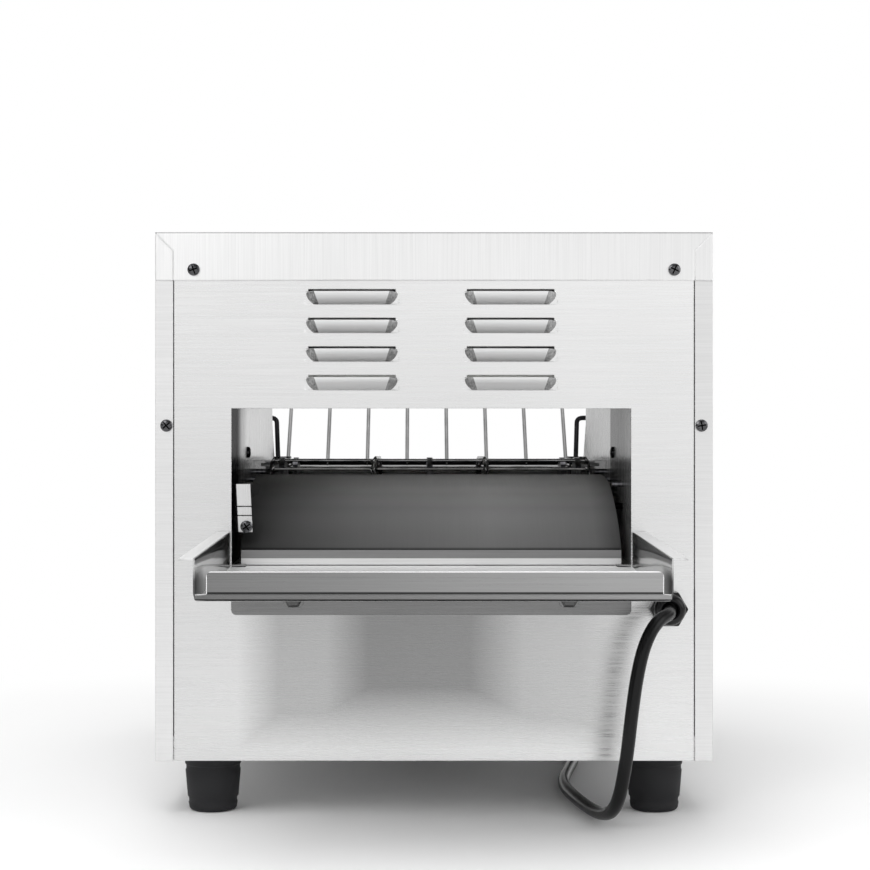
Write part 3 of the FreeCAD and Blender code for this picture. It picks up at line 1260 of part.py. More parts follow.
def cord_path(points, share=0.45):
    """Straight runs joined by tangent arcs; prints each arc's radius."""
    edges = []
    start = points[0]
    for before, here, after in zip(points, points[1:], points[2:]):
        arriving = (here - before).normalize()
        leaving = (after - here).normalize()
        turn = arriving.getAngle(leaving)
        shorter = min((here - before).Length, (after - here).Length)
        trim = share * shorter
        radius = trim / math.tan(turn / 2)
        enter = here - arriving * trim
        leave = here + leaving * trim
        bisector = (leaving - arriving).normalize()
        centre = here + bisector * (radius / math.cos(turn / 2))
        crown = centre - bisector * radius
        print(f"cord turn {math.degrees(turn):5.1f} degrees, radius {radius:6.1f} mm")
        edges.append(Part.LineSegment(start, enter).toShape())
        edges.append(Part.Arc(enter, crown, leave).toShape())
        start = leave
    edges.append(Part.LineSegment(start, points[-1]).toShape())
    return Part.Wire(edges)


def cord():
    """Power cord: a tube to where it is coiled, the coil as one ring, and the plug."""
    radius = number("cord_radius")
    rear = number("rear_y")
    points = [Vector(x, rear + y, z) for x, y, z in CORD_ROUTE]
    path = cord_path(points)
    start = Part.Wire(Part.Circle(points[0], points[1] - points[0], radius).toShape())
    tube = path.makePipeShell([start], True, False)
    wanted = math.pi * radius ** 2 * path.Length
    print(f"cord {path.Length:.0f} mm, volume {tube.Volume / wanted:.4f} of section times length")
    print(f"rear face at {rear:.4f} mm")
    feature = doc.addObject("Part::Feature", "PowerCord")
    feature.Shape = tube
    feature.Placement = Placement()
    piece("power_cord", feature)
    middle = Vector(number("coil_x"), rear + number("coil_depth"), 0)
    spread = COIL_TURNS_BESIDE * radius
    height = 2 * radius * COIL_LAYERS
    inside, outside = number("coil_radius") - spread, number("coil_radius") + spread
    ring = Part.makeCylinder(outside, height, middle)
    ring = ring.cut(Part.makeCylinder(inside, height, middle))
    coil = doc.addObject("Part::Feature", "CordCoil")
    coil.Shape = ring
    coil.Placement = Placement()
    piece("cord_coil", coil)
    plug()


def plug():
    """A plain two-pin plug beside the coil, with a strain relief that reaches it."""
    along, half_pitch = "coil_depth + coil_radius", "plug_pin_pitch / 2"
    middle = "plug_height / 2"
    end = "plug_x - plug_length"
    grip = block("PlugGrip", (end, "plug_x"),
                 (f"{along} - plug_width / 2", f"{along} + plug_width / 2"), ("0", "plug_height"))
    doc.recompute([grip])
    rounded = doc.addObject("Part::Fillet", "PlugRounded")
    rounded.Base = grip
    edge = number("plug_round")
    rounded.Edges = [(index + 1, edge, edge) for index in range(len(grip.Shape.Edges))]
    pins = [rod("PlugPin", "x", "plug_pin_radius", (f"{end} - plug_pin_length", f"{end} + skin"),
                (f"{along} + {side} * {half_pitch}", middle)) for side in (-1, 1)]
    relief = doc.addObject("Part::Cone", "PlugRelief")
    relief.Placement = Placement(Vector(), TURNS["x"])
    tie(relief, "Radius1", "relief_radius")
    tie(relief, "Radius2", "cord_radius + skin")
    tie(relief, "Height", "relief_length + skin")
    tie(relief, "Placement.Base.x", "plug_x - skin")
    tie(relief, "Placement.Base.y", depth(along))
    tie(relief, "Placement.Base.z", middle)
    piece("power_plug", fuse("PowerPlug", rounded, relief, *pins))


def foot_places():
    return [(f"{side} * foot_side", y) for side in (-1, 1)
            for y in ("foot_inset", "body_depth - foot_inset")]


def feet():
    """Four rubber feet, each on a screw with a nut inside the base pan."""
    soles, screws = [], []
    for x, y in foot_places():
        cone = doc.addObject("Part::Cone", "FootCone")
        tie(cone, "Radius1", "foot_sole")
        tie(cone, "Radius2", "foot_radius")
        tie(cone, "Height", "foot_height")
        tie(cone, "Placement.Base.x", x)
        tie(cone, "Placement.Base.y", depth(y))
        well = rod("FootWell", "z", "foot_screw + fit_gap",
                   ("foot_height / 2", "foot_height + skin"), (x, y))
        soles.append(cut("RubberFoot", cone, well))
        shank = rod("FootShank", "z", "foot_screw",
                    ("foot_height / 2 + skin", "base_top + 7 * skin"), (x, y))
        nut = body_at("FootNut", x=x, y=y)
        pad(nut, "XY", "base_top", "base_top + 4 * skin", hexagon("0", "0", "10"))
        screws.append(fuse("FootScrew", shank, nut))
    piece("rubber_feet", group("RubberFeet", *soles))
    piece("foot_screws", group("FootScrews", *screws))


def rear_screw_places():
    return [(f"{side} * cover_screw_x", "cover_screw_height") for side in (-1, 1)] + \
           [(f"{side} * side_screw_x", "side_screw_height") for side in (-1, 1)]


def screw(axis, outward, face, at):
    """A pan-head screw whose head rests on a face; outward is the way its head points."""
    head = sorted((0, outward), key=float)
    head_ends = [f"({face}) + {end} * screw_head_height" for end in head]
    shank = sorted((0, -outward), key=float)
    shank_ends = [f"({face}) + {end} * screw_length" for end in shank]
    return fuse("PanelScrew", rod("ScrewHead", axis, "screw_head", head_ends, at),
                rod("ScrewShank", axis, "screw_radius", shank_ends, at))


def screws():
    """Identical pan-head screws of the cover, the side panels and the inner walls."""
    heads = [screw("y", -1, "0", at) for at in rear_screw_places()]
    heads += [screw("y", 1, "upper_depth", (f"{side} * cover_screw_x", "cover_screw_height"))
              for side in (-1, 1)]
    wall_at = ("wall_screw_depth", "wall_screw_height")
    heads += [screw("x", -side, f"tunnel_x + {side} * half_tunnel", wall_at) for side in (-1, 1)]
    piece("panel_screws", group("PanelScrews", *heads))


def terminals():
    """Terminal block on the base pan, behind the gland."""
    half = "terminal_width / 2"
    base = block("TerminalBase", (f"terminal_x - {half}", f"terminal_x + {half}"),
                 ("terminal_start", "terminal_start + terminal_length"),
                 ("base_top", "base_top + terminal_height"))
    wells = [rod("TerminalWell", "z", "terminal_well",
                 ("base_top + terminal_floor", "base_top + terminal_height + skin"),
                 (f"terminal_x + {place} * terminal_pitch",
                  "terminal_start + terminal_length / 2")) for place in (-1, 0, 1)]
    piece("terminal_block", cut("TerminalBlock", base, *wells))


casing()
chamber()
conveyor()
chain_drive()
toast_exit()
crumb_tray()
loading_rack()
console()
fan()
cable_entry()
cord()
feet()
screws()
terminals()
doc.recompute()

for thing in doc.Objects:
    if {"Invalid", "Error"} & set(thing.State):
        raise RuntimeError(f"{thing.Name} ({thing.Label}) is {thing.State}")
os.makedirs("parts", exist_ok=True)
for thing in pieces:
    shape = thing.Shape
    if shape.isNull() or not shape.isValid() or shape.Volume <= 0:
        raise RuntimeError(f"{thing.Label} has no valid solid")
    shape.exportStep(f"parts/{thing.Label}.step")
    print(f"{thing.Label}: {len(shape.Solids)} solids, {shape.Volume / 1000:.1f} cm3")
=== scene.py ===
# %% [markdown]
# # Conveyor toaster, dressed
# A countertop toaster that carries bread on a wire belt past glowing quartz tubes and drops the
# toast on a tray at the rear. The sheet metal, shafts and rods come in as finished solids. This
# notebook gives them their metals and plastics, and rebuilds the pieces whose charm lies in small
# curves: the pressed louvres, the bent wire, the folded tray, the screws, the feet and the cord.

# %% Load the solids
import json
import math

import bmesh
import bpy
from mathutils import Matrix, Vector

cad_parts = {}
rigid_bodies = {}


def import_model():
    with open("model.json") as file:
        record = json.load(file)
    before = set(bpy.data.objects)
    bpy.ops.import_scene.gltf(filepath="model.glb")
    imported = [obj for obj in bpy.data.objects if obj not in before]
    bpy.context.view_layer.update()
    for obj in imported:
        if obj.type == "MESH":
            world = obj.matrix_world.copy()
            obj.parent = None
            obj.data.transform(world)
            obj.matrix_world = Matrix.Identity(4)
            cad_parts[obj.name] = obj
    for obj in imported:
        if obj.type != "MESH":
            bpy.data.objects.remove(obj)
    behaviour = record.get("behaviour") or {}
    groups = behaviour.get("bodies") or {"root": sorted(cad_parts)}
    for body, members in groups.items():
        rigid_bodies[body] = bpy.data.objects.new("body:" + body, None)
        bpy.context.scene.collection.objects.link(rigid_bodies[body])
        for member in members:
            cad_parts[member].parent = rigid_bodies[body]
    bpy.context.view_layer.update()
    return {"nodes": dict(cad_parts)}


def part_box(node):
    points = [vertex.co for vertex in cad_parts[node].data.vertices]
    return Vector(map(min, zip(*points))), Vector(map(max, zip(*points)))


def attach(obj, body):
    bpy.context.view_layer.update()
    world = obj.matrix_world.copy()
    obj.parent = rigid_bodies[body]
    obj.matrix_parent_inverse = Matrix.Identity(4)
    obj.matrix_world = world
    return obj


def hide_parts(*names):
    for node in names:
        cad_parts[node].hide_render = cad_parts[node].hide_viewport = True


for leftover in list(bpy.data.objects):
    bpy.data.objects.remove(leftover)
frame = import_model()

# %% [markdown]
# Everything below is measured in millimetres, as on a workshop drawing, and turned to metres
# once. A place is given as across, depth and height, where depth is counted from the outer face
# of the rear sheet towards the front, so that it reads like the drawing of the toaster.

# %% Units and places
MM = 0.001
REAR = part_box("left_side_panel")[0].y / MM
TUNNEL = -1.8  # middle of the tunnel, across


def spot(across, depth, height):
    """A point of the drawing, in metres."""
    return Vector((across, REAR + depth, height)) * MM


print("rear sheet at", round(REAR, 2), "mm")

# %% [markdown]
# The camera stands behind the toaster at the height of its tunnel and looks level, so that the
# upright edges stay upright. A long lens from 1.15 m keeps the tunnel's walls steep. The small
# shift slides the picture on the sensor, as a view camera does, without tilting it.

# %% Camera
camera = bpy.data.objects.new("Camera", bpy.data.cameras.new("Camera"))
camera.location = spot(-8.6, -1150, 240)
camera.rotation_euler = (math.radians(90), 0, 0)
camera.data.lens = 72.1
camera.data.shift_x = 0.0161
camera.data.shift_y = 0.023
bpy.context.scene.collection.objects.link(camera)
bpy.context.scene.camera = camera
bpy.context.scene.view_settings.view_transform = "Standard"
print("camera at", [round(part, 3) for part in camera.location])

# %% [markdown]
# Finishes are built from shader nodes. One small function adds a node, sets its own settings and
# its sockets, links what comes from other nodes and places the colours of a ramp, so that each
# finish below reads like a recipe. Colours are written as they look on a screen and turned to
# linear light here.

# %% Helpers for finishes


def colour(code):
    """Linear colour of an sRGB hex value."""
    parts = [int(code[place:place + 2], 16) / 255 for place in (1, 3, 5)]
    linear = [part / 12.92 if part <= 0.04045 else ((part + 0.055) / 1.055) ** 2.4
              for part in parts]
    return (*linear, 1.0)


def node(tree, kind, sockets=None, stops=(), **settings):
    """Add a node with its settings, its sockets filled or linked, and a ramp's colour stops."""
    made = tree.nodes.new(kind)
    for name, value in settings.items():
        setattr(made, name, value)
    for name, value in (sockets or {}).items():
        if isinstance(value, bpy.types.NodeSocket):
            tree.links.new(value, made.inputs[name])
        else:
            made.inputs[name].default_value = value
    for place, _ in stops[2:]:
        made.color_ramp.elements.new(place)
    for element, (place, code) in zip(made.color_ramp.elements if stops else (), stops):
        element.position = place
        element.color = colour(code)
    return made


def finish(name, base, metallic=0.0, roughness=0.5, **more):
    """A material with its surface shader; base is a hex colour."""
    material = bpy.data.materials.new(name)
    material.use_nodes = True
    tree = material.node_tree
    tree.nodes.clear()
    shader = node(tree, "ShaderNodeBsdfPrincipled",
                  {"Base Color": colour(base), "Metallic": metallic, "Roughness": roughness})
    for socket, value in more.items():
        shader.inputs[socket.replace("_", " ")].default_value = value
    node(tree, "ShaderNodeOutputMaterial", {"Surface": shader.outputs[0]})
    return material, tree, shader


def put_on(material, *names):
    """Give CAD nodes a material."""
    for name in names:
        item = frame["nodes"][name]
        item.data.materials.clear()
        item.data.materials.append(material)


# %% [markdown]
# The casing is 1 mm stainless sheet with a satin finish: a belt grinder draws fine parallel
# scratches over it, a tenth of a millimetre wide and some centimetres long. They spread the
# reflections across the grain. The pattern is noise, stretched along the grain. Real scratches
# are too fine for the picture, so these are drawn 0.9 mm wide. A second, broad noise gives the
# faint clouds that rolled sheet has, and a bevel in the shader rounds the light along folded
# edges.

# %% Satin sheet
CLOUD = 1000 / 9  # width of a cloud, in millimetres


def satin(name, dark, bright, grain, roughness=0.34, scratch_mm=0.9, length_mm=70, relief=0.012,
          cloud=0.35, metallic=1.0, edge_mm=0.7):
    """Ground stainless sheet; grain names the axes along which the scratches run."""
    material, tree, shader = finish(name, bright, metallic, roughness)
    place = node(tree, "ShaderNodeTexCoord").outputs["Object"]
    fine, long = 1 / (scratch_mm * MM), 1 / (length_mm * MM)
    scale = [long if axis in grain else fine for axis in "XYZ"]
    drawn_out = node(tree, "ShaderNodeMapping", {"Vector": place, "Scale": scale}).outputs[0]
    scratches = node(tree, "ShaderNodeTexNoise",
                     {"Vector": drawn_out, "Scale": 1.0, "Detail": 3.0}).outputs[0]
    clouds = node(tree, "ShaderNodeTexNoise",
                  {"Vector": place, "Scale": 1 / (CLOUD * MM), "Detail": 1.0}).outputs[0]
    both = node(tree, "ShaderNodeMix", {"Factor": cloud, "A": scratches, "B": clouds}).outputs[0]
    shade = node(tree, "ShaderNodeValToRGB", {"Fac": both}, ((0.32, dark), (0.66, bright)))
    tree.links.new(shade.outputs[0], shader.inputs["Base Color"])
    spread = node(tree, "ShaderNodeMapRange",
                  {"Value": scratches, "From Min": 0.3, "From Max": 0.7,
                   "To Min": roughness - 0.05, "To Max": roughness + 0.06}).outputs[0]
    tree.links.new(spread, shader.inputs["Roughness"])
    edge = node(tree, "ShaderNodeBevel", {"Radius": edge_mm * MM}, samples=4).outputs[0]
    bump = node(tree, "ShaderNodeBump", {"Height": scratches, "Distance": relief * MM,
                                         "Strength": 1.0, "Normal": edge}).outputs[0]
    tree.links.new(bump, shader.inputs["Normal"])
    return material


# %% [markdown]
# Each sheet of the casing was ground along its own length before it was folded, so its grain has
# its own direction. The louvres' hoods are duller, and where the press stretched the steel at
# their ends it is short-grained and scuffed, and darker still with painted shade on these
# sideways-facing caps.

# %% Finishes of the casing
casing_level = satin("satin stainless, grain across", "#E0E0E0", "#EAEAEA", "X", 0.28,
                     relief=0.003)
rear_satin = satin("satin stainless, rear sheet", "#EAEAEA", "#F3F3F3", "X", 0.28, relief=0.003)
casing_deep = satin("satin stainless, grain front to back", "#DCDCDC", "#E6E6E6", "XY",
                    relief=0.006)
cover_satin = satin("satin stainless, cover", "#E8E8E8", "#F3F3F3", "YZ", relief=0.003,
                    edge_mm=1.5)
# Scuffed steel at the hoods' ends, painted darker as shade on the sideways-facing caps.
scuffed_and_shaded_satin = satin("stretched sheet, scuffed and painted shade", "#626262", "#BEBEBE", "Z", 0.4, scratch_mm=0.7,
                      length_mm=3)
hood_satin = satin("satin stainless, pressed hoods", "#E8E8E8", "#F2F2F2", "X", 0.52,
                   relief=0.003)
put_on(casing_level, "front_upper_panel", "control_panel", "base_pan")
put_on(casing_deep, "left_side_panel", "right_side_panel")
put_on(cover_satin, "top_cover")
print("materials in the file", len(bpy.data.materials))

# %% [markdown]
# Inside the tunnel the steel is greyer. The slide is dull from heat, and its upright lip has
# painted shade above and a painted highlight at its foot. The reflectors are the only bright
# sheet.

# %% Finishes of the tunnel and the slide
wall_satin = satin("satin stainless, left wall", "#C0C0C0", "#C8C8C8", "XZ", 0.24, relief=0.001,
                   cloud=0.1)
right_wall_satin = satin("satin stainless, right wall", "#B8B8B8", "#C0C0C0", "XZ", 0.24,
                         relief=0.001, cloud=0.1, metallic=0.5)
inner_satin = satin("satin stainless, hidden sheet", "#A0A0A0", "#B0B0B0", "Y", 0.3)
slide_satin = satin("heat-dulled stainless, painted shade", "#F2F2F2", "#FCFCFC", "YZ", 0.5, relief=0.002,
                    metallic=0.3)
# Lit and shaded copies of one finish: painted shade on the slide's upright lip above, and a
# painted highlight at its foot.
lip_satin = satin("slide lip, painted shade", "#727272", "#7C7C7C", "X", 0.4, relief=0.001, metallic=0.2)
slide_lip_highlight = satin("slide lip, painted highlight", "#C6C6C6", "#D0D0D0", "X", 0.4, relief=0.001,
                   metallic=0.2)
bracket_satin = satin("satin stainless, bracket", "#D0D0D0", "#DEDEDE", "Z", 0.3)
bright_sheet = satin("bright reflector sheet", "#D8D8D4", "#E6E6E2", "X", 0.14)
put_on(wall_satin, "left_inner_wall")
put_on(right_wall_satin, "right_inner_wall")
put_on(inner_satin, "left_guide_rail", "right_guide_rail", "chamber_floor", "motor_bracket",
       "tray_runners")
put_on(bright_sheet, "upper_reflector", "lower_reflector")
print("materials in the file", len(bpy.data.materials))

# %% [markdown]
# Each face of the trays has its own grey: the toast tray's floor is matt, its walls mirror the
# rear sheet, its lip is ground across, and its cut edges are bright, and the same bright finish is
# a painted highlight along the lip's top and ends. The crumb tray's face is painted dark grey as
# the shade under the toast tray.

# %% Finishes of the trays
# Painted shade: the crumb tray's face is dark grey because it lies in the shade under the toast
# tray.
crumb_satin = satin("satin stainless, crumb tray", "#747474", "#868686", "X", 0.28)
grip_satin = satin("satin stainless, pressed grips", "#5A5A5A", "#6A6A6A", "X", 0.4)
tray_floor_satin = satin("satin stainless, tray floor", "#F2F2F2", "#FCFCFC", "X", 0.42,
                         relief=0.004, metallic=0.45)
tray_wall_satin = satin("satin stainless, tray walls", "#C4C4C4", "#D0D0D0", "Y", 0.12,
                        relief=0.002)
tray_lip_satin = satin("satin stainless, tray lip", "#A2A2A2", "#AEAEAE", "X", 0.3, relief=0.003)
lip_back_satin = satin("satin stainless, back of the lip", "#7C7C7C", "#8A8A8A", "X", 0.4)
flange_satin = satin("satin stainless, tray flanges", "#D4D4D4", "#E2E2E2", "Y", 0.4,
                     metallic=0.4)
# Cut sheet edges are bright; the same finish is also a painted highlight along the top and ends of
# the tray's lip.
cut_edge_and_highlight = satin("cut sheet edge and painted highlight", "#F6F6F6", "#FEFEFE", "X", 0.3, relief=0.002, metallic=0.3)
put_on(crumb_satin, "crumb_tray")
print("materials in the file", len(bpy.data.materials))

# %% [markdown]
# A tone darkens steel from one side to the other; most tones here are painted shade and painted
# reflection. It is a ramp of greys along one axis, multiplied into the satin colour and into the
# tint that metal shows at a glancing angle. A second ramp can keep it to one band of the sheet:
# the tone shows only where that one is dark.

# %% Helpers for tones


def ramped(tree, axis, start, end, *stops):
    """Greys spread along one axis, between two places of the drawing."""
    place = node(tree, "ShaderNodeTexCoord").outputs["Object"]
    along = node(tree, "ShaderNodeSeparateXYZ", {"Vector": place}).outputs[axis]
    first, last = (spot(edge, edge, edge)["XYZ".index(axis)] for edge in (start, end))
    share = node(tree, "ShaderNodeMapRange",
                 {"Value": along, "From Min": first, "From Max": last}).outputs[0]
    return node(tree, "ShaderNodeValToRGB", {"Fac": share}, stops).outputs[0]


def toned(material, axis, start, end, *stops, only=None):
    """Multiply a ramp into a material's colour and its sheen, or only where a second is dark."""
    tree = material.node_tree
    shader = [item for item in tree.nodes if item.bl_idname == "ShaderNodeBsdfPrincipled"][0]
    ramp = ramped(tree, axis, start, end, *stops)
    if only:
        ramp = node(tree, "ShaderNodeMix", {0: 1.0, 6: ramp, 7: ramped(tree, *only)},
                    data_type="RGBA", blend_type="LIGHTEN").outputs[2]
    for name in ("Base Color", "Specular Tint"):
        socket = shader.inputs[name]
        plain = socket.links[0].from_socket if socket.links else colour("#FFFFFF")
        tone = node(tree, "ShaderNodeMix", {0: 1.0, 6: plain, 7: ramp}, data_type="RGBA",
                    blend_type="MULTIPLY").outputs[2]
        tree.links.new(tone, socket)


# %% [markdown]
# These tones are painted shade and painted reflection. In the tunnel, the walls darken near the
# rear opening, the right one further in than the left, with a dark line at their edge. The slide
# is greyest on its left and low down, with a painted shadow line in its lowest bend. On the
# outside the rear sheet is greyer towards its foot and its left, and has a grey veil below the
# trays that paints their reflection. The cover's flat top is painted a little darker than its
# folded sides.

# %% Painted shade of the tunnel and the casing
# Painted reflection and shade: both tunnel walls darken near the rear opening, with a dark line at
# their edge.
toned(wall_satin, "Y", 0, 110, (0.02, "#101010"), (0.04, "#585858"), (0.36, "#5C5C5C"),
      (0.46, "#A0A0A0"), (0.58, "#DCDCDC"), (0.95, "#FFFFFF"))
toned(right_wall_satin, "Y", 0, 140, (0.02, "#202020"), (0.04, "#A8A8A8"), (0.4, "#8A8A8A"),
      (0.88, "#8A8A8A"), (0.94, "#FFFFFF"))
# Painted shade on the slide: greyest on its left and low down, with a painted shadow line in its
# lowest bend.
toned(slide_satin, "X", -130, 126, (0, "#6A6A6A"), (0.3, "#D0D0D0"), (0.65, "#FFFFFF"),
      (0.93, "#E8E8E8"), (1, "#A0A0A0"))
toned(slide_satin, "Z", 171, 226, (0.09, "#9C9C9C"), (0.11, "#1C1C1C"), (0.14, "#676767"),
      (0.45, "#868686"), (0.6, "#949494"), (0.76, "#BCBCBC"), (0.91, "#FFFFFF"))
# Painted reflection of the trays: a grey veil on the rear sheet below them.
toned(rear_satin, "X", -130, 140, (0, "#FFFFFF"), (0.1, "#D0D0D0"), (0.22, "#D0D0D0"),
      (0.32, "#A4A4A4"), (0.57, "#A4A4A4"), (0.7, "#D4D4D4"), (0.84, "#DCDCDC"), (1, "#FFFFFF"),
      only=("Z", 45, 146, (0, "#FFFFFF"), (0.65, "#101010"), (0.8, "#000000"), (1, "#FFFFFF")))
# Painted shade: the rear sheet is a little greyer towards its foot and towards its left.
toned(rear_satin, "Z", 205, 360, (0, "#F1F1F1"), (1, "#FFFFFF"))
toned(rear_satin, "X", -172, 172, (0, "#F4F4F4"), (1, "#FFFFFF"))
# Painted shade: the cover's flat top, and with it the top edge, is darker than the folded sides.
toned(cover_satin, "Z", 386.0, 386.8, (0, "#FFFFFF"), (1, "#C6C6C6"))

# %% [markdown]
# Painted shade on the toast tray: its floor is greyer at both ends, and its walls darken low down
# towards the lip. The lip is greyer to its left, and has a painted shadow line at its foot and
# another in the groove above the fold.

# %% Painted shade of the toast tray
toned(tray_floor_satin, "Y", -75, 58, (0, "#C0C0C0"), (0.42, "#FFFFFF"), (0.6, "#FFFFFF"),
      (0.78, "#B8B8B8"))
toned(tray_wall_satin, "Y", -182, -140, (0, "#747474"), (1, "#FFFFFF"),
      only=("Z", 168, 178, (0, "#000000"), (1, "#FFFFFF")))
toned(tray_lip_satin, "X", -130, 126, (0, "#C2C2C2"), (1, "#FFFFFF"))
toned(tray_lip_satin, "Z", 158, 164, (0.2, "#202020"), (0.3, "#F0F0F0"), (0.74, "#F0F0F0"),
      (0.84, "#505050"), (0.92, "#505050"), (1, "#FFFFFF"))

# %% [markdown]
# Shafts, sprockets and the chain are plain turned steel with a film of oil: rings from the lathe,
# drawn coarser than real ones so that they show, in a slightly cool grey. A wave texture repeats
# after a tenth of pi at a scale of one, which gives its scale here. The rods under the slide are
# the same steel, darker low down, and the bushes are bronze, pressed from powder.

# %% Turned steel
RING = 3.77  # millimetres from ring to ring


def turned(name, dark, bright, roughness):
    """Machined steel with faint rings across X."""
    material, tree, shader = finish(name, bright, 1.0, roughness)
    place = node(tree, "ShaderNodeTexCoord").outputs["Object"]
    rings = node(tree, "ShaderNodeTexWave",
                 {"Vector": place, "Scale": math.pi / 10 / (RING * MM), "Distortion": 1.5},
                 bands_direction="X").outputs[1]
    shade = node(tree, "ShaderNodeValToRGB", {"Fac": rings}, ((0.2, dark), (0.8, bright)))
    tree.links.new(shade.outputs[0], shader.inputs["Base Color"])
    bump = node(tree, "ShaderNodeBump", {"Height": rings, "Distance": 0.01 * MM}).outputs[0]
    tree.links.new(bump, shader.inputs["Normal"])
    return material


shaft_steel = turned("turned steel", "#85858A", "#9C9CA0", 0.3)
put_on(shaft_steel, "drive_shaft", "idler_shaft", "motor_shaft", "drive_sprockets",
       "idler_sprockets", "shaft_chain_sprocket", "motor_chain_sprocket", "drive_chain",
       "speed_spindle", "selector_spindle", "wall_pins", "foot_screws")
rod_steel = turned("turned steel, darker low down", "#85858A", "#9C9CA0", 0.3)
toned(rod_steel, "Z", 208, 216, (0, "#181818"), (1, "#FFFFFF"))
put_on(rod_steel, "slide_support_rods")
bush_bronze = turned("sintered bronze", "#94703C", "#B08850", 0.45)
put_on(bush_bronze, "shaft_bushes")

# %% [markdown]
# The belt wire and the rack are drawn stainless wire, polished smooth by the die, so they mirror
# the room in thin lines. Handling and heat leave faint patches, some 17 mm long. The rack's frame
# is blackened, and the screws below take the same recipe.

# %% Drawn wire
PATCH = 1000 / 60  # length of a patch, in millimetres


def drawn_wire(name, dark, bright, roughness):
    """Drawn wire with the faint unevenness of handling and heat."""
    material, tree, shader = finish(name, bright, 1.0, roughness)
    place = node(tree, "ShaderNodeTexCoord").outputs["Object"]
    patches = node(tree, "ShaderNodeTexNoise",
                   {"Vector": place, "Scale": 1 / (PATCH * MM)}).outputs[0]
    shade = node(tree, "ShaderNodeValToRGB", {"Fac": patches}, ((0.35, dark), (0.65, bright)))
    tree.links.new(shade.outputs[0], shader.inputs["Base Color"])
    return material


rack_wire = drawn_wire("drawn stainless wire", "#B4B4B4", "#C8C8C8", 0.4)
frame_wire = drawn_wire("blackened steel rod", "#1A1A1C", "#2C2C2E", 0.22)
belt_wire = drawn_wire("polished belt wire", "#9A9A9A", "#DADADA", 0.16)
put_on(rack_wire, "heater_guard")
print("materials in the file", len(bpy.data.materials))

# %% [markdown]
# Plastics, rubber, ceramic and paint each start from how they were made. Moulded plastic has a
# fine spark-eroded grain that softens its gloss, rubber scatters nearly all light, phenolic knobs
# are dense and shiny, and steatite is a matt, chalky ceramic. The lamp's cap lets some light
# through.

# %% Moulded, fired and painted finishes


def moulded(name, base, roughness, grain_mm=0.6, relief=0.03, **more):
    """Moulded plastic or rubber with an eroded grain; scale in millimetres."""
    material, tree, shader = finish(name, base, 0.0, roughness, **more)
    place = node(tree, "ShaderNodeTexCoord").outputs["Object"]
    grain = node(tree, "ShaderNodeTexNoise", {"Vector": place, "Scale": 1 / (grain_mm * MM),
                                              "Detail": 2.0}).outputs[0]
    bump = node(tree, "ShaderNodeBump", {"Height": grain, "Distance": relief * MM}).outputs[0]
    tree.links.new(bump, shader.inputs["Normal"])
    return material


fan_plastic = moulded("PBT plastic, eroded", "#161616", 0.5)
knob_plastic = moulded("phenolic, glossy", "#121212", 0.22, 0.8, 0.006, Coat_Weight=0.4)
switch_plastic = moulded("nylon, dark", "#2C2C2A", 0.5)
gland_nylon = moulded("polyamide 6, black", "#080809", 0.2, 0.7, 0.012, Specular_IOR_Level=0.3)
cord_rubber = moulded("neoprene sheath", "#060607", 0.26, 0.8, 0.014, Specular_IOR_Level=0.25)
plug_plastic = moulded("PVC, black", "#111112", 0.42)
foot_rubber = moulded("natural rubber", "#17171A", 0.72, 0.7, 0.06)
ceramic = moulded("steatite, unglazed", "#E6E3D8", 0.62, 0.5, 0.03)
terminal_plastic = moulded("polyamide, natural", "#DCD8CC", 0.5)
motor_paint = moulded("powder paint, dark", "#343436", 0.48, 0.9, 0.08)
board_resin = moulded("glass-epoxy board", "#1D5A2B", 0.35, 1.2, 0.02)
lamp_red = moulded("tinted polycarbonate", "#C01208", 0.16, 2.0, 0.004, Transmission_Weight=0.35,
                   IOR=1.58, Emission_Strength=0.25, Emission_Color=colour("#E01408"))
screw_dark = drawn_wire("black zinc plate", "#3A3A3C", "#626264", 0.14)
# Painted shade: the cross recess is the same black zinc as the head, drawn near-black.
recess_shade = drawn_wire("black zinc plate, painted shade in the recess", "#060606", "#101010", 0.5)
put_on(fan_plastic, "fan_housing", "fan_rotor")
put_on(knob_plastic, "speed_knob", "heat_selector_knob")
put_on(switch_plastic, "speed_control", "selector_switch")
put_on(gland_nylon, "cord_gland", "gland_nut", "gland_locknut")
put_on(plug_plastic, "power_plug")
put_on(foot_rubber, "rubber_feet")
put_on(ceramic, "heater_end_caps")
put_on(terminal_plastic, "terminal_block")
put_on(motor_paint, "gear_motor")
put_on(board_resin, "control_board")
put_on(lamp_red, "indicator_lamp")
print("materials in the file", len(bpy.data.materials))

# %% [markdown]
# New pieces are modelled as bmeshes. Small helpers close each of them: one turns a bmesh into an
# object that rides on a body of the frame, one lets a finished object ride on its body, and one
# makes an object of a line drawn as a curve with a round section, which is how bent wire is made.

# %% Helpers for pieces


def shaped(name, mesh, material, body, stands_for=(), smooth=None):
    """Turn a finished bmesh into a piece that rides on a body."""
    mesh.edges.index_update()
    rims = [edge.index for edge in mesh.edges if edge.is_boundary]
    data = bpy.data.meshes.new(name)
    mesh.to_mesh(data)
    mesh.free()
    data.materials.append(material)
    item = bpy.data.objects.new(name, data)
    bpy.context.scene.collection.objects.link(item)
    if smooth is not None:
        for face in data.polygons:
            face.use_smooth = True
        data.set_sharp_from_angle(angle=math.radians(smooth))
        for rim in rims:
            data.edges[rim].use_edge_sharp = True
    return join_in(item, body, stands_for)


def join_in(item, body, stands_for=()):
    """Let a piece ride on its body and stand for CAD nodes, which it hides."""
    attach(item, body)
    if stands_for:
        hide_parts(*stands_for)
    return item


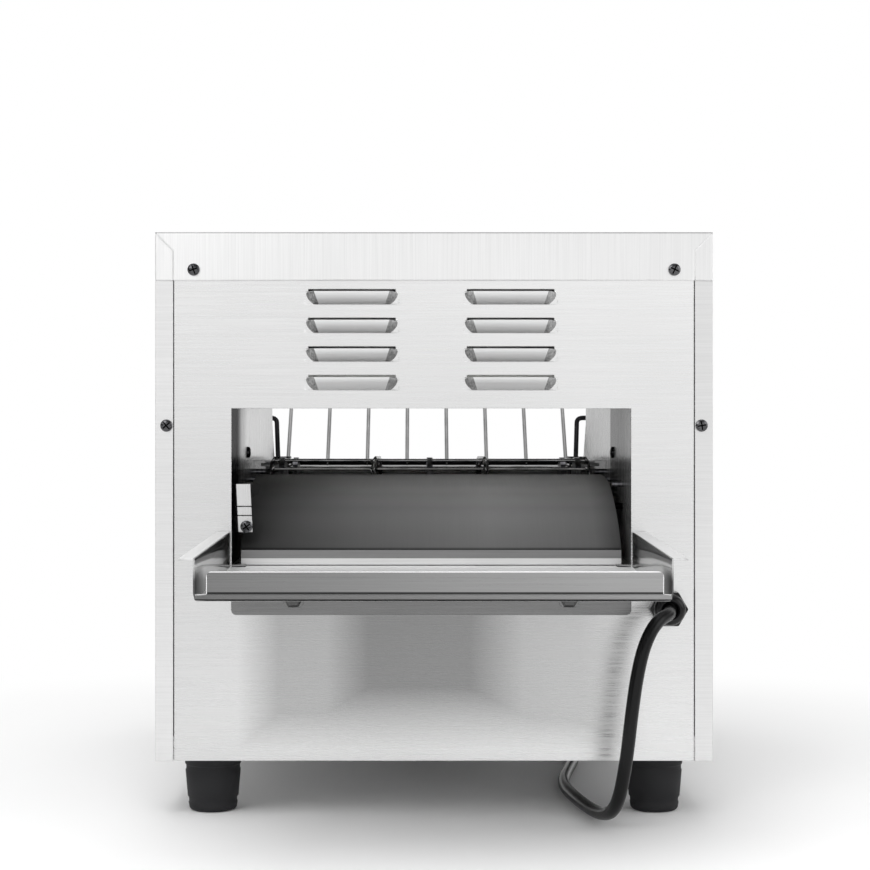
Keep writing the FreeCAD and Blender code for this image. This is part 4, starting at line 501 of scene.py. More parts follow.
def bent_wire(name, runs, radius, material, kind="POLY", sides=3, order=4):
    """Round wire along one or more lines of points, in metres."""
    line = bpy.data.curves.new(name, "CURVE")
    line.dimensions = "3D"
    line.bevel_depth = radius * MM
    line.bevel_resolution = sides
    line.use_fill_caps = True
    for points in runs:
        spline = line.splines.new(kind)
        spline.points.add(len(points) - 1)
        for place, point in zip(spline.points, points):
            place.co = (*point, 1.0)
        if kind == "NURBS":
            spline.order_u = order
            spline.use_endpoint_u = True
        spline.use_smooth = True
    line.materials.append(material)
    item = bpy.data.objects.new(name, line)
    bpy.context.scene.collection.objects.link(item)
    return item


# %% [markdown]
# The power cord is limp when warm but holds a bend, 8.6 mm thick. It leaves the gland, sags to
# the floor, runs forward under the toaster between its feet and is put away as a neat coil in
# front, where this view doesn't reach. It is one NURBS curve: its control points pull the line
# without touching it, which gives the even bends of a real lead. The turns lie two beside and two
# on top of each other, a diameter apart.

# %% Power cord
CORD = 4.3  # radius
ROUTE = [
    (153.8, 6.0, 138.9), (153.8, -30.0, 138.9), (141.5, -45.5, 135.4), (133.0, -51.5, 122.5),
    (127.8, -54.0, 104.0), (124.0, -55.0, 79.0), (120.5, -54.0, 46.0), (116.0, -42.0, 14.5),
    (109.0, -15.0, 4.9), (98.0, 38.0, 4.9), (92.0, 96.0, 4.9), (101.0, 152.0, 4.9),
    (112.0, 208.0, 4.9), (106.0, 265.0, 4.9), (91.0, 318.0, 4.9), (82.0, 372.0, 4.9),
    (85.0, 423.0, 4.9),
]
COIL, COIL_MEAN, STEPS = (45.0, 480.0), 46.0, 16  # centre, radius between two laps, points a lap


def crossed(turn, lap):
    """How far the cord has crossed into a lap of the coil, from 0 to 1 over a fifth of a turn."""
    return min(1.0, max(0.0, (turn - lap + 0.1) / 0.2))


cord_points = [spot(*point) for point in ROUTE]
for step in range(4 * STEPS + 4):
    turn = step / STEPS
    beside, above = crossed(turn, 1) - crossed(turn, 3), crossed(turn, 2)
    radius = COIL_MEAN + CORD - 2 * CORD * beside
    angle = math.radians(-20 + 360 * turn)
    cord_points.append(spot(COIL[0] + radius * math.cos(angle), COIL[1] + radius * math.sin(angle),
                            4.6 + (2 * CORD - 0.2) * above))
cord_points += [spot(28, 527.0, 12.6), spot(14, 526.4, 11.4), spot(-6, 526, 11.0)]
cord = bent_wire("power_lead", [cord_points], CORD, cord_rubber, "NURBS", 5, 3)
for spline in cord.data.splines:
    spline.resolution_u = 8
join_in(cord, "casing", ["power_cord", "cord_coil"])
cord_length = cord.data.splines[0].calc_length()
print("cord", round(cord_length, 3), "m")

# %% [markdown]
# Pieces of sheet start as one flat rectangle, as they do in the workshop. bisect_plane scores the
# lines on which the sheet is later cut or folded, faces are punched out, and walls are drawn out
# of its edges. This keeps every fold in line with the sheet it grows from, which separate plates
# that only touch would not.

# %% Helpers for sheet


def upright(mesh, left, right, low, high, depth, columns=1, rows=1):
    """A flat rectangle that faces the rear, in millimetres of the drawing."""
    made = bmesh.ops.create_grid(mesh, x_segments=columns, y_segments=rows, size=0.5)["verts"]
    bmesh.ops.rotate(mesh, verts=made, cent=(0, 0, 0),
                     matrix=Matrix.Rotation(math.radians(90), 3, "X"))
    bmesh.ops.scale(mesh, verts=made, vec=((right - left) * MM, 1, (high - low) * MM))
    bmesh.ops.translate(mesh, verts=made, vec=spot((left + right) / 2, depth, (low + high) / 2))
    return made


def score(mesh, normal, places):
    """Cut every face along planes that are square to the normal."""
    for place in places:
        everything = mesh.verts[:] + mesh.edges[:] + mesh.faces[:]
        bmesh.ops.bisect_plane(mesh, geom=everything, plane_co=place, plane_no=normal)


def punch(mesh, first, last):
    """Remove the faces whose middle lies between two corners, seen from the rear."""
    waste = [face for face in mesh.faces
             if first.x < face.calc_center_median().x < last.x
             and first.z < face.calc_center_median().z < last.z]
    bmesh.ops.delete(mesh, geom=waste, context="FACES")


def pull(mesh, edges, *moves):
    """Draw a wall out of a row of edges, once for each move."""
    for move in moves:
        made = bmesh.ops.extrude_edge_only(mesh, edges=edges)["geom"]
        fresh = {item for item in made if isinstance(item, bmesh.types.BMVert)}
        bmesh.ops.translate(mesh, verts=list(fresh), vec=Vector(move))
        edges = [item for item in made if isinstance(item, bmesh.types.BMEdge)
                 and set(item.verts) <= fresh]
    return edges


def face_towards(mesh, direction):
    """Give an open sheet one consistent outside, on the side that a direction points to."""
    bmesh.ops.recalc_face_normals(mesh, faces=mesh.faces[:])
    lean = sum((face.normal * face.calc_area() for face in mesh.faces), Vector())
    if lean.dot(direction) < 0:
        bmesh.ops.reverse_faces(mesh, faces=mesh.faces[:])


def thicken(item, thickness=1.0):
    """Give a sheet its thickness, behind its outside."""
    wall = item.modifiers.new("Sheet", "SOLIDIFY")
    wall.thickness = thickness * MM
    wall.offset = -1.0


# %% [markdown]
# The rear sheet is one rectangle. The opening and two narrow gaps beside the side panels' flanges
# are taken out of it. It also carries eight louvres: a press slits the sheet above each one and
# pushes a hood out below the slit, so that warm air leaves upwards and nothing drips in. Here the
# slits and the fields of the hoods are taken out first.

# %% Blank of the rear sheet
COLUMNS, TOPS = (TUNNEL - 52.4, TUNNEL + 52.4), [348.0 - 18.9 * row for row in range(4)]
LOUVRES = [(column, top) for column in COLUMNS for top in TOPS]
FIELD, OPEN, HOOD, SLIT = 31, 28.8, 8.4, 1.5  # half widths of hood and slit, and their heights
TUNNEL_LOW, TUNNEL_HIGH, TUNNEL_HALF = 137, 270.8, 132
sheet = bmesh.new()
upright(sheet, -183, 183, 38, 381, depth=1)
walls = [-172.3, -171.7, 171.75, 172.2, TUNNEL - TUNNEL_HALF, TUNNEL + TUNNEL_HALF]
walls += [column + side * half for column in COLUMNS for side in (-1, 1) for half in (FIELD, OPEN)]
levels = [TUNNEL_LOW, TUNNEL_HIGH] + [top + edge for top in TOPS for edge in (SLIT, 0, -HOOD)]
score(sheet, (1, 0, 0), [spot(across, 0, 0) for across in walls])
score(sheet, (0, 0, 1), [spot(0, 0, height) for height in levels])
punch(sheet, spot(TUNNEL - TUNNEL_HALF, 0, TUNNEL_LOW), spot(TUNNEL + TUNNEL_HALF, 0, TUNNEL_HIGH))
for side in (-1, 1):
    punch(sheet, spot(side * 172 - 0.3, 0, 38), spot(side * 172 + 0.3, 0, 381))
for across, top in LOUVRES:
    punch(sheet, spot(across - FIELD, 0, top - HOOD), spot(across + FIELD, 0, top))
    punch(sheet, spot(across - OPEN, 0, top), spot(across + OPEN, 0, top + SLIT))
print("louvres", len(LOUVRES))

# %% [markdown]
# A hood's face stays almost upright and turns in at its foot. Its ends close in short round caps,
# where the stretched steel stays dull, scuffed and darkened by painted shade. Each hood is a fine
# grid whose points are pushed out by a rounded profile, and a painted shade darkens it towards its
# foot.

# %% Pressed hoods
BULGE, FACE_END, CAP_END = 4.4, 26, 30  # how far a hood stands out, and where its caps lie
FLAT, FLAT_LOSS, BROW = 24.9, 2.9, 1.4  # half width of the face, its taper, and the rounded top
CAP, CAP_GAIN, CAP_LOSS = 28.4, 1.8, 4.8  # half width with the caps, and how its outline curves
for across, top in LOUVRES:
    hood = upright(sheet, across - FIELD, across + FIELD, top - HOOD, top, 1, 62, 14)
    for face in {face for point in hood for face in point.link_faces}:
        aside = abs(face.calc_center_median().x / MM - across)
        face.material_index = 2 if aside < FACE_END else 1 if aside < CAP_END else 0
    for point in hood:
        low = max(0.0, top - point.co.z / MM)
        down, out = low / HOOD, point.co.x / MM - across
        if abs(out) > CAP_END + 0.5:
            continue
        brow = 1 - (1 - min(low, BROW) / BROW) ** 2
        below = max(0.0, low - BROW) / (HOOD - BROW)
        rim = CAP + CAP_GAIN * brow ** 0.5 - CAP_LOSS * below ** 2
        flat, end = FLAT - FLAT_LOSS * down, min(1.0, max(0.0, (abs(out) - FACE_END) / 4))
        far = abs(out) * flat / FACE_END if end == 0 else flat + end * (rim - flat)
        point.co.x = (across + math.copysign(far, out)) * MM
        point.co.y -= BULGE * MM * max(0.0, 1 - down ** 1.9) * (1 - end ** 2) ** 0.5
# Painted shade: each hood darkens towards its foot.
for top in TOPS:
    toned(hood_satin, "Z", top - HOOD - 0.6, top, (0, "#FFFFFF"), (0.07, "#DEDEDE"),
          (0.35, "#EAEAEA"), (0.9, "#FFFFFF"))
face_towards(sheet, Vector((0, -1, 0)))
rear_sheet = shaped("rear_sheet", sheet, rear_satin, "casing", ["rear_panel"], 35)
rear_sheet.data.materials.append(scuffed_and_shaded_satin)
rear_sheet.data.materials.append(hood_satin)
thicken(rear_sheet)
print("rear sheet faces", len(rear_sheet.data.polygons))

# %% [markdown]
# The toast slide is one bent sheet behind the belt. Its line runs flat under the belt, steepens
# like a playground slide and ends in a narrow upright lip, with a painted highlight at its foot
# and painted shade above. A few points give the line, one pull makes it as wide as the belt, and a
# subdivision surface rounds the bends, so that the shade runs over it softly. Only the upright lip
# keeps its creases.

# %% Toast slide
LIP_DEPTH, HIGHLIGHT_BELOW = 9, 171  # depth of the upright lip, and height below which it has a painted highlight
CHUTE = [(9.03, 167.0), (9.03, 171.3), (9, 176.8), (14, 183.5), (26, 193), (42, 203.5), (64, 214),
         (90, 221.5), (120, 225), (150, 225.6)]
chute = bmesh.new()
line = [chute.verts.new(spot(TUNNEL - 126.5, depth, height)) for depth, height in CHUTE]
bends = [chute.edges.new(pair) for pair in zip(line, line[1:])]
pull(chute, bends, Vector((253 * MM, 0, 0)))
crease = chute.edges.layers.float.new("crease_edge")
for edge in chute.edges:
    if all(abs(point.co.y / MM - REAR - LIP_DEPTH) < 0.1 for point in edge.verts):
        edge[crease] = 1.0
for face in chute.faces:
    middle = face.calc_center_median()
    if middle.y < spot(0, LIP_DEPTH + 1, 0).y:
        face.material_index = 1 if middle.z < HIGHLIGHT_BELOW * MM else 2
face_towards(chute, Vector((0, -1, 1)))
slide = shaped("slide_sheet", chute, slide_satin, "casing", ["toast_slide"], 30)
slide.data.materials.append(slide_lip_highlight)
slide.data.materials.append(lip_satin)
smooth = slide.modifiers.new("Bends", "SUBSURF")
smooth.levels = smooth.render_levels = 3
smooth.boundary_smooth = "PRESERVE_CORNERS"
thicken(slide)
print("slide rows", len(bends))

# %% [markdown]
# Beside the slide stands a small bracket of the same sheet, a little askew, with two fine slots
# across and one screw at its foot. Its inner edge is folded back to the wall. The slots are bands
# of the rectangle that are punched out, and the lean is a shear of the finished plate.

# %% Slide bracket
SLOTS = ((199.5, 200.1), (205.6, 206.2))
ear = bmesh.new()
upright(ear, -131.2, -121.8, 188.9, 220.8, depth=5)
score(ear, (0, 0, 1), [spot(0, 0, height) for slot in SLOTS for height in slot])
for low, high in SLOTS:
    punch(ear, spot(-134, 0, low), spot(-118, 0, high))
bmesh.ops.transform(ear, verts=ear.verts[:], space=Matrix.Translation(-spot(0, 5, 220.8)),
                    matrix=Matrix.Shear("XY", 4, (-0.05, 0)))
wall_side = [edge for edge in ear.edges if abs(edge.verts[0].co.z - edge.verts[1].co.z) > MM
             and max(point.co.x for point in edge.verts) < -127 * MM]
pull(ear, wall_side, Vector((-2.4 * MM, 4 * MM, 0)), Vector((0, 3 * MM, 0)))
face_towards(ear, Vector((0, -1, 0)))
bracket = shaped("bracket_sheet", ear, bracket_satin, "casing", ["slide_bracket"])
thicken(bracket, 0.8)
print("bracket edges folded back", len(wall_side))

# %% [markdown]
# The toast tray is folded from one blank: a floor, two side walls with flanges that stiffen them,
# and a front lip that stops the toast. It is drawn level, across from its own middle and along
# from the rear sheet. The blank is scored where the walls and the lip will end. Its inner end is
# a tongue that fits between the tunnel's walls, so the two corners beside it are cut away.

# %% Blank of the toast tray
FLOOR_HALF, TONGUE_HALF, LIP_ENDS = 132.5, 123, (-126.2, 128.2)  # across, from the tray's middle
INNER_END, FRONT_FOLD, LIP_FACE = 58, -177.4, -181.0        # along, from the rear sheet
blank = bmesh.new()
floor_plate = bmesh.ops.create_grid(blank, x_segments=1, y_segments=1, size=0.5)["verts"]
bmesh.ops.scale(blank, verts=floor_plate,
                vec=(2 * FLOOR_HALF * MM, (INNER_END - FRONT_FOLD) * MM, 1))
bmesh.ops.translate(blank, verts=floor_plate, vec=(0, (INNER_END + FRONT_FOLD) / 2 * MM, 0))
score(blank, (0, 1, 0), [Vector((0, 0.5 * MM, 0))])
score(blank, (1, 0, 0), [Vector((x * MM, 0, 0))
                         for x in (LIP_ENDS[0], -TONGUE_HALF, TONGUE_HALF, LIP_ENDS[1])])
beside_tongue = [face for face in blank.faces if face.calc_center_median().y > MM
                 and abs(face.calc_center_median().x) > TONGUE_HALF * MM]
bmesh.ops.delete(blank, context="FACES", geom=beside_tongue)
print("tray blank faces", len(blank.faces))

# %% [markdown]
# Now the walls are pulled up and their flanges out, and the lip is pulled forward, back for its
# groove and up. Each fold is bevelled, because sheet never folds to a knife edge, and the lip's
# upper corners are rounded so that they don't scratch.

# %% Folds of the toast tray
LIP_TOP, WALL_FRONT, BEHIND_FACE = 16.4, -182, -180.5


def edges_at(mesh, axis, place, reach=1000.0):
    """Edges that lie at a place on one axis, no further across than a reach."""
    return [edge for edge in mesh.edges
            if all(abs(point.co[axis] / MM - place) < 0.05 and abs(point.co.x / MM) < reach + 0.05
                   for point in edge.verts)]


for side in (-1, 1):
    pull(blank, edges_at(blank, 0, side * FLOOR_HALF), Vector((0, 0, 4 * MM)),
         Vector((0, 0, 19.5 * MM)), Vector((side * 9 * MM, 0, 0)))
for point in blank.verts:
    if abs(point.co.x) > 132 * MM and point.co.z > MM and point.co.y < -170 * MM:
        point.co.y = WALL_FRONT * MM
front = [edge for edge in edges_at(blank, 1, FRONT_FOLD)
         if max(point.co.z for point in edge.verts) < MM / 9]
pull(blank, front, Vector((0, -3.6 * MM, 3.6 * MM)))
pull(blank, edges_at(blank, 1, LIP_FACE, LIP_ENDS[1]), Vector((0, 1.6 * MM, 0.2 * MM)),
     Vector((0, -1.6 * MM, 0.5 * MM)), Vector((0, 0, 12.1 * MM)))
folds = [edge for edge in blank.edges if len(edge.link_faces) == 2
         and edge.calc_face_angle() > 0.3
         and (edge.verts[0].co.y + edge.verts[1].co.y) / 2 > BEHIND_FACE * MM]
bmesh.ops.bevel(blank, geom=folds, offset=1.0 * MM, segments=3, affect="EDGES", profile=0.5,
                material=-1)
corners = [point for point in blank.verts if len(point.link_edges) == 2
           and abs(point.co.z / MM - LIP_TOP) < 0.05
           and min(abs(point.co.x / MM - end) for end in LIP_ENDS) < 0.05]
bmesh.ops.bevel(blank, geom=corners, offset=3.2 * MM, segments=5, affect="VERTICES", profile=0.5,
                material=-1)
print("tray lip corners", len(corners))

# %% [markdown]
# Each face carries the number of its material: floor, lip, walls, cut edges and flanges. The
# bright cut-edge finish also lies on a band along the top of the lip and near its ends, as a
# painted highlight. Solidify adds five to it on the lower side, which is the outer side of the
# lip, and ten on the cut edges. Finally the tray is tipped by 2.2 degrees, the way it rests.

# %% Finishes and place of the toast tray
EDGE, LIP_HIGHLIGHT = 0.4, 15.8  # the lip has a painted highlight this near its ends, and above this height
score(blank, (0, 0, 1), [Vector((0, 0, LIP_HIGHLIGHT * MM))])
score(blank, (1, 0, 0), [Vector((x * MM, 0, 0)) for x in (LIP_ENDS[0] + EDGE, LIP_ENDS[1] - EDGE)])
face_towards(blank, Vector((0, 0, 1)))
for face in blank.faces:
    across, along, up = face.calc_center_median() / MM
    near_end = min(abs(across - end) for end in LIP_ENDS) < EDGE
    if along < BEHIND_FACE and (near_end or LIP_HIGHLIGHT < up < 17):
        face.material_index = 3
    elif along < -177.6 and abs(across) < 132:
        face.material_index = 1
    elif abs(across) > 133.5:
        face.material_index = 4
    elif abs(across) > 132.2:
        face.material_index = 2
tip = Matrix.Translation(spot(TUNNEL, 0, 166)) @ Matrix.Rotation(math.radians(2.2), 4, "X")
bmesh.ops.transform(blank, matrix=tip, verts=blank.verts[:])
tray = shaped("toast_tray_sheet", blank, tray_floor_satin, "rear_tray",
              ["toast_tray"], 30)
upper_side = [lip_back_satin, tray_wall_satin, cut_edge_and_highlight, flange_satin]
lower_side = [inner_satin, tray_lip_satin, tray_wall_satin, cut_edge_and_highlight, flange_satin]
rims = [cut_edge_and_highlight, cut_edge_and_highlight, tray_wall_satin, cut_edge_and_highlight, flange_satin]
for material in upper_side + lower_side + rims:
    tray.data.materials.append(material)
thicken(tray)
tray.modifiers["Sheet"].material_offset = 5
tray.modifiers["Sheet"].material_offset_rim = 10
print("tray faces", len(tray.data.polygons))

# %% [markdown]
# The crumb tray slides in below. Its face has two small six-sided bumps, pressed out of the
# sheet, where fingers find a grip. A low cone with six sides is that shape.

# %% Grips of the crumb tray
grips = bmesh.new()
for side in (-1, 1):
    bump = bmesh.ops.create_cone(grips, cap_ends=True, segments=6, radius1=6.4 * MM,
                                 radius2=4.6 * MM, depth=1.4 * MM)["verts"]
    bmesh.ops.rotate(grips, verts=bump, cent=(0, 0, 0),
                     matrix=Matrix.Rotation(math.radians(90), 3, "X"))
    bmesh.ops.rotate(grips, verts=bump, cent=(0, 0, 0),
                     matrix=Matrix.Rotation(math.radians(30), 3, "Y"))
    bmesh.ops.translate(grips, verts=bump, vec=spot(TUNNEL + side * 91, -1.7, 145.2))
print("grip faces", len(grips.faces))
shaped("tray_grips", grips, grip_satin, "crumb_pan")

# %% [markdown]
# The loading rack at the front is a cradle of bent rod. One black rod makes the frame: it hooks
# through the front sheet, turns in, runs down both sides and across the bottom. Eight thinner
# bread wires are welded over it. A bent rod keeps its round section round each corner, so the
# corner is a short curve of points along which one curve with a round section runs.

# %% Loading rack
RACK_X, RACK_DEPTH, RACK_LEAN, RACK_PITCH = -3.5, 344.22, math.radians(39.5), 34.05
RACK_FOOT, RACK_HOOK, RACK_TOP = 233.3, 272.5, 346.0


def on_rack(across, height):
    """A point of the leaning plane of the rack."""
    depth = RACK_DEPTH + (height - RACK_FOOT) * math.tan(RACK_LEAN)
    return spot(RACK_X + across, depth, height)


def rounded(points, reach):
    """The same line with each corner replaced by a short curve that starts a reach before it."""
    curve = [points[0]]
    for before, corner, after in zip(points, points[1:], points[2:]):
        start = corner + (before - corner).normalized() * reach * MM
        end = corner + (after - corner).normalized() * reach * MM
        for step in range(6):
            share = step / 5
            curve.append(start.lerp(corner, share).lerp(corner.lerp(end, share), share))
    return curve + [points[-1]]


half_frame = [[on_rack(side * 127.5, RACK_FOOT), on_rack(side * 131.5, RACK_HOOK),
               on_rack(side * 151, RACK_HOOK), spot(RACK_X + side * 151, 311, RACK_HOOK)]
              for side in (-1, 1)]
frame_line = rounded(half_frame[0][::-1] + half_frame[1], 5.5)
top_line = [on_rack(-3.7 * RACK_PITCH, RACK_TOP), on_rack(3.7 * RACK_PITCH, RACK_TOP)]
rack_frame = bent_wire("rack_frame", [frame_line, top_line], 2.1, frame_wire, sides=4)
join_in(rack_frame, "bread_rack", ["loading_rack"])
bread_wires = bent_wire("bread_wires", [
    [on_rack((place - 3.5) * RACK_PITCH, RACK_FOOT - 1.2),
     on_rack((place - 3.5) * RACK_PITCH, RACK_TOP + 1.2)] for place in range(8)], 1.65, rack_wire)
join_in(bread_wires, "bread_rack", ["loading_rack"])
print("bread wires", len(bread_wires.data.splines))

# %% [markdown]
# The conveyor belt is a ladder of bent wires. Each strand runs across, makes two hairpins round
# the next strand and ends in a hook at each edge, so the belt bends only one way and stays flat
# under the bread. Thirty-four strands make the loop round twelve-toothed sprockets. One strand is
# drawn once, as a line of across, along and up, and laid down at each place of the loop.

# %% Conveyor belt
TEETH, TOP_LINKS, PITCH = 12, 11, 12.7
BELT_DEPTH, BELT_HEIGHT = 182, 212.2  # middle of the rear shaft


def loop_places():
    """Places of the strands round both sprockets, as along and up from the rear shaft."""
    radius, step = PITCH / (2 * math.sin(math.pi / TEETH)), 2 * math.pi / TEETH
    low, lead, span = radius * math.cos(step / 2), radius * math.sin(step / 2), TOP_LINKS * PITCH
    round_rear = [step * (turn - 0.5) for turn in range(TEETH // 2 + 1)]
    places = [(-radius * math.sin(angle), radius * math.cos(angle)) for angle in round_rear]
    places += [(lead + index * PITCH, -low) for index in range(TOP_LINKS)]
    places += [(span + radius * math.sin(angle), -radius * math.cos(angle))
               for angle in round_rear[1:]]
    return places + [(span - lead - index * PITCH, low) for index in range(TOP_LINKS - 1)]


HOOK = [(-117.6, 13.4, 2.2), (-118.6, 15.0, 0.8), (-119.8, 14.6, -1.2), (-120.3, 12.7, -2.1),
        (-120.3, 9.0, -1.6), (-120.3, 2.2, -0.3), (-119.8, 0.6, 0.0), (-118.4, 0.0, 0.0)]
HAIRPIN = [(-45.4, 0.0, 0.0), (-44.2, 0.8, -0.2), (-43.6, 3.0, -0.9), (-43.6, 11.0, -2.2),
           (-43.4, 14.0, -1.7), (-42.6, 15.3, 0.0), (-41.6, 14.0, 1.7), (-41.4, 11.0, 2.2),
           (-41.4, 3.0, 0.9), (-40.8, 0.8, 0.2), (-39.6, 0.0, 0.0)]
half_strand = HOOK + HAIRPIN
strand = half_strand + [(-across, along, up) for across, along, up in half_strand[::-1]]
places = loop_places()
strands = []
for (along, up), (next_along, next_up) in zip(places, places[1:] + places[:1]):
    here = spot(TUNNEL, BELT_DEPTH + along, BELT_HEIGHT + up)
    ahead = (spot(TUNNEL, BELT_DEPTH + next_along, BELT_HEIGHT + next_up) - here).normalized()
    outward = ahead.cross(Vector((1, 0, 0)))
    strands.append([here + (Vector((1, 0, 0)) * x + ahead * y + outward * z) * MM
                    for x, y, z in strand])
belt = bent_wire("belt_strands", strands, 1.1, belt_wire, sides=2)
join_in(belt, "casing", ["conveyor_belt"])
print("belt strands", len(strands))

# %% [markdown]
# Round pieces are turned on a lathe, and bmesh has the same tool: spin carries a profile round an
# axis. The profile is a list of radius and place along the axis. A full turn merges its seam, and
# doubled points on the axis are merged after it.

# %% Lathe


def lathe(mesh, profile, place, axis, steps=32):
    """Spin a profile of (radius, along) about an axis through a place."""
    axis = Vector(axis)
    side = axis.orthogonal().normalized()
    line = [mesh.verts.new(place + (side * radius + axis * along) * MM)
            for radius, along in profile]
    edges = [mesh.edges.new(pair) for pair in zip(line, line[1:])]
    bmesh.ops.spin(mesh, geom=line + edges, cent=place, axis=axis, angle=2 * math.pi, steps=steps,
                   use_merge=True)
    bmesh.ops.remove_doubles(mesh, verts=mesh.verts[:], dist=1e-6)
    bmesh.ops.recalc_face_normals(mesh, faces=mesh.faces[:])


# %% [markdown]
# Each heater is a tube of fused quartz with a coil of heating wire in it. The tube is milky and
# slightly wavy from drawing. Quartz shows little colour but strong highlights along its length,
# and the dark coil reads through it. The coil is a curve with ten points to a turn, 3 mm from
# turn to turn, a little coarser than real ones so that it stays visible.

# %% Quartz tubes and heating coils
quartz, tree, shader = finish("fused quartz, milky", "#F2F0EA", 0.0, 0.16, IOR=1.46,
                              Transmission_Weight=0.9)
place = node(tree, "ShaderNodeTexCoord").outputs["Object"]
waves = node(tree, "ShaderNodeTexNoise", {"Vector": place, "Scale": 1 / (9 * MM)}).outputs[0]
bump = node(tree, "ShaderNodeBump", {"Height": waves, "Distance": 0.06 * MM}).outputs[0]
tree.links.new(bump, shader.inputs["Normal"])
coil_wire = drawn_wire("oxidised heating alloy", "#3A3634", "#55504C", 0.45)
HEATERS = {"upper": [(140, 300), (200, 300), (260, 300)],
           "lower": [(235, BELT_HEIGHT), (269, BELT_HEIGHT)]}
TUBE = [(4.1, -125), (4.9, -123.5), (5, -122), (5, 122), (4.9, 123.5), (4.1, 125)]
COIL_POINTS, TENTH, FURTHER, COIL_RADIUS = 747, 0.6283, 0.3, 2.7  # a tenth of a turn to a point
for level, rows in HEATERS.items():
    tubes = bmesh.new()
    turns = []
    for depth, height in rows:
        middle = spot(TUNNEL, depth, height)
        lathe(tubes, TUBE, middle, (1, 0, 0), 20)
        winding = [middle + Vector((-112 + FURTHER * step, COIL_RADIUS * math.cos(step * TENTH),
                                    COIL_RADIUS * math.sin(step * TENTH))) * MM
                   for step in range(COIL_POINTS)]
        turns.append([middle + Vector((-124 * MM, 0, 0)), *winding,
                      middle + Vector((124 * MM, 0, 0))])
    glass = shaped(f"{level}_quartz", tubes, quartz, "casing",
                   [f"{level}_heater_tubes"], 40)
    thicken(glass, 0.9)
    coils = bent_wire(f"{level}_coils", turns, 0.35, coil_wire, sides=0)
    join_in(coils, "casing")
    print(level, "heaters", len(turns))

# %% [markdown]
# The screws are Phillips pan heads with a black zinc coat, 8 mm across. A head starts as a square
# grid that is mapped to a disc, because a grid has the cells in which the cross recess can be
# chosen. The chosen cells are extruded inwards, the disc is domed, and its rim is pulled down.

# %% Pan-head screws
ARM_HALF, ARM_REACH = 0.125, 0.7  # the recess, in shares of the head's radius
HEAD_RADIUS, HEAD_HEIGHT, DOME, RECESS = 4, 2.4, 1.1, 1.3


def pan_head(mesh, place, outward, turn):
    """A Phillips pan head that sits on a face and points outwards, turned about its axis."""
    head = bmesh.ops.create_grid(mesh, x_segments=16, y_segments=16, size=1.0)["verts"]
    cross = []
    for cell in {face for point in head for face in point.link_faces}:
        across, along = sorted(abs(part) for part in cell.calc_center_median()[:2])
        if across < ARM_HALF and along < ARM_REACH:
            cross.append(cell)
    rim = [edge for edge in {edge for point in head for edge in point.link_edges}
           if len(edge.link_faces) == 1]
    for point in head:
        x, y = point.co.x, point.co.y
        point.co.x, point.co.y = x * math.sqrt(1 - y * y / 2), y * math.sqrt(1 - x * x / 2)
        far = min(1.0, point.co.xy.length)
        point.co = (point.co.x * HEAD_RADIUS, point.co.y * HEAD_RADIUS,
                    HEAD_HEIGHT - DOME * far ** 3.2)
    made = bmesh.ops.extrude_face_region(mesh, geom=cross)["geom"]
    sunk = [item for item in made if isinstance(item, bmesh.types.BMVert)]
    for item in made:
        if isinstance(item, bmesh.types.BMFace):
            item.material_index = 1
    bmesh.ops.translate(mesh, verts=sunk, vec=(0, 0, -RECESS))
    bmesh.ops.delete(mesh, geom=cross, context="FACES_ONLY")
    wall = bmesh.ops.extrude_edge_only(mesh, edges=rim)["geom"]
    foot = [item for item in wall if isinstance(item, bmesh.types.BMVert)]
    for point in foot:
        point.co.z = 0.0
    turned_to = Vector(outward).to_track_quat("Z", "Y").to_matrix().to_4x4()
    seat = (Matrix.Translation(place) @ turned_to @ Matrix.Rotation(math.radians(turn), 4, "Z")
            @ Matrix.Scale(MM, 4))
    bmesh.ops.transform(mesh, matrix=seat, verts=list(set(head + sunk + foot)))


SCREWS = [((-158.6, 0, 362.3), (0, -1, 0), 20), ((158.6, 0, 362.3), (0, -1, 0), 65),
          ((-176.5, 0, 259.4), (0, -1, 0), 40), ((176.5, 0, 259.4), (0, -1, 0), 10),
          ((-158.6, 319, 362.3), (0, 1, 0), 30), ((158.6, 319, 362.3), (0, 1, 0), 75),
          ((TUNNEL - TUNNEL_HALF, 108, 242), (1, 0, 0), 15),
          ((TUNNEL + TUNNEL_HALF, 108, 242), (-1, 0, 0), 50)]
heads = bmesh.new()
for place, outward, turn in SCREWS:
    pan_head(heads, spot(*place), outward, turn)
screws = shaped("screw_heads", heads, screw_dark, "casing", ["panel_screws"], 35)
screws.data.materials.append(recess_shade)
ear_screw = bmesh.new()
pan_head(ear_screw, spot(-124.2, 5, 192.6), (0, -1, 0), 35)
bracket_head = shaped("bracket_screw", ear_screw, screw_dark, "casing", smooth=35)
bracket_head.data.materials.append(recess_shade)
print("screw heads", len(SCREWS) + 1)

# %% [markdown]
# The feet are black rubber, cast in turned moulds: a stepped cone with two soft ribs and a hollow
# sole that grips the table. Such a round piece is one profile on the lathe.

# %% Feet
FOOT = [(0, 38), (17.6, 38), (18.6, 37.4), (19, 36.4), (19, 31), (18.3, 30.2), (18.2, 27.5),
        (18.7, 26.6), (17.2, 9), (16.4, 8), (16.2, 5.5), (16.6, 4.6), (16.0, 1.2), (15.2, 0.2),
        (14.4, 0), (10.6, 0), (10, 0.6), (9.6, 2.4), (0, 2.8)]
feet = bmesh.new()
for side in (-1, 1):
    for depth in (36, 370):
        lathe(feet, FOOT, spot(side * 150, depth, 0), (0, 0, 1), 40)
print("foot faces", len(feet.faces))
shaped("feet_moulded", feet, foot_rubber, "casing", ["rubber_feet"], 35)

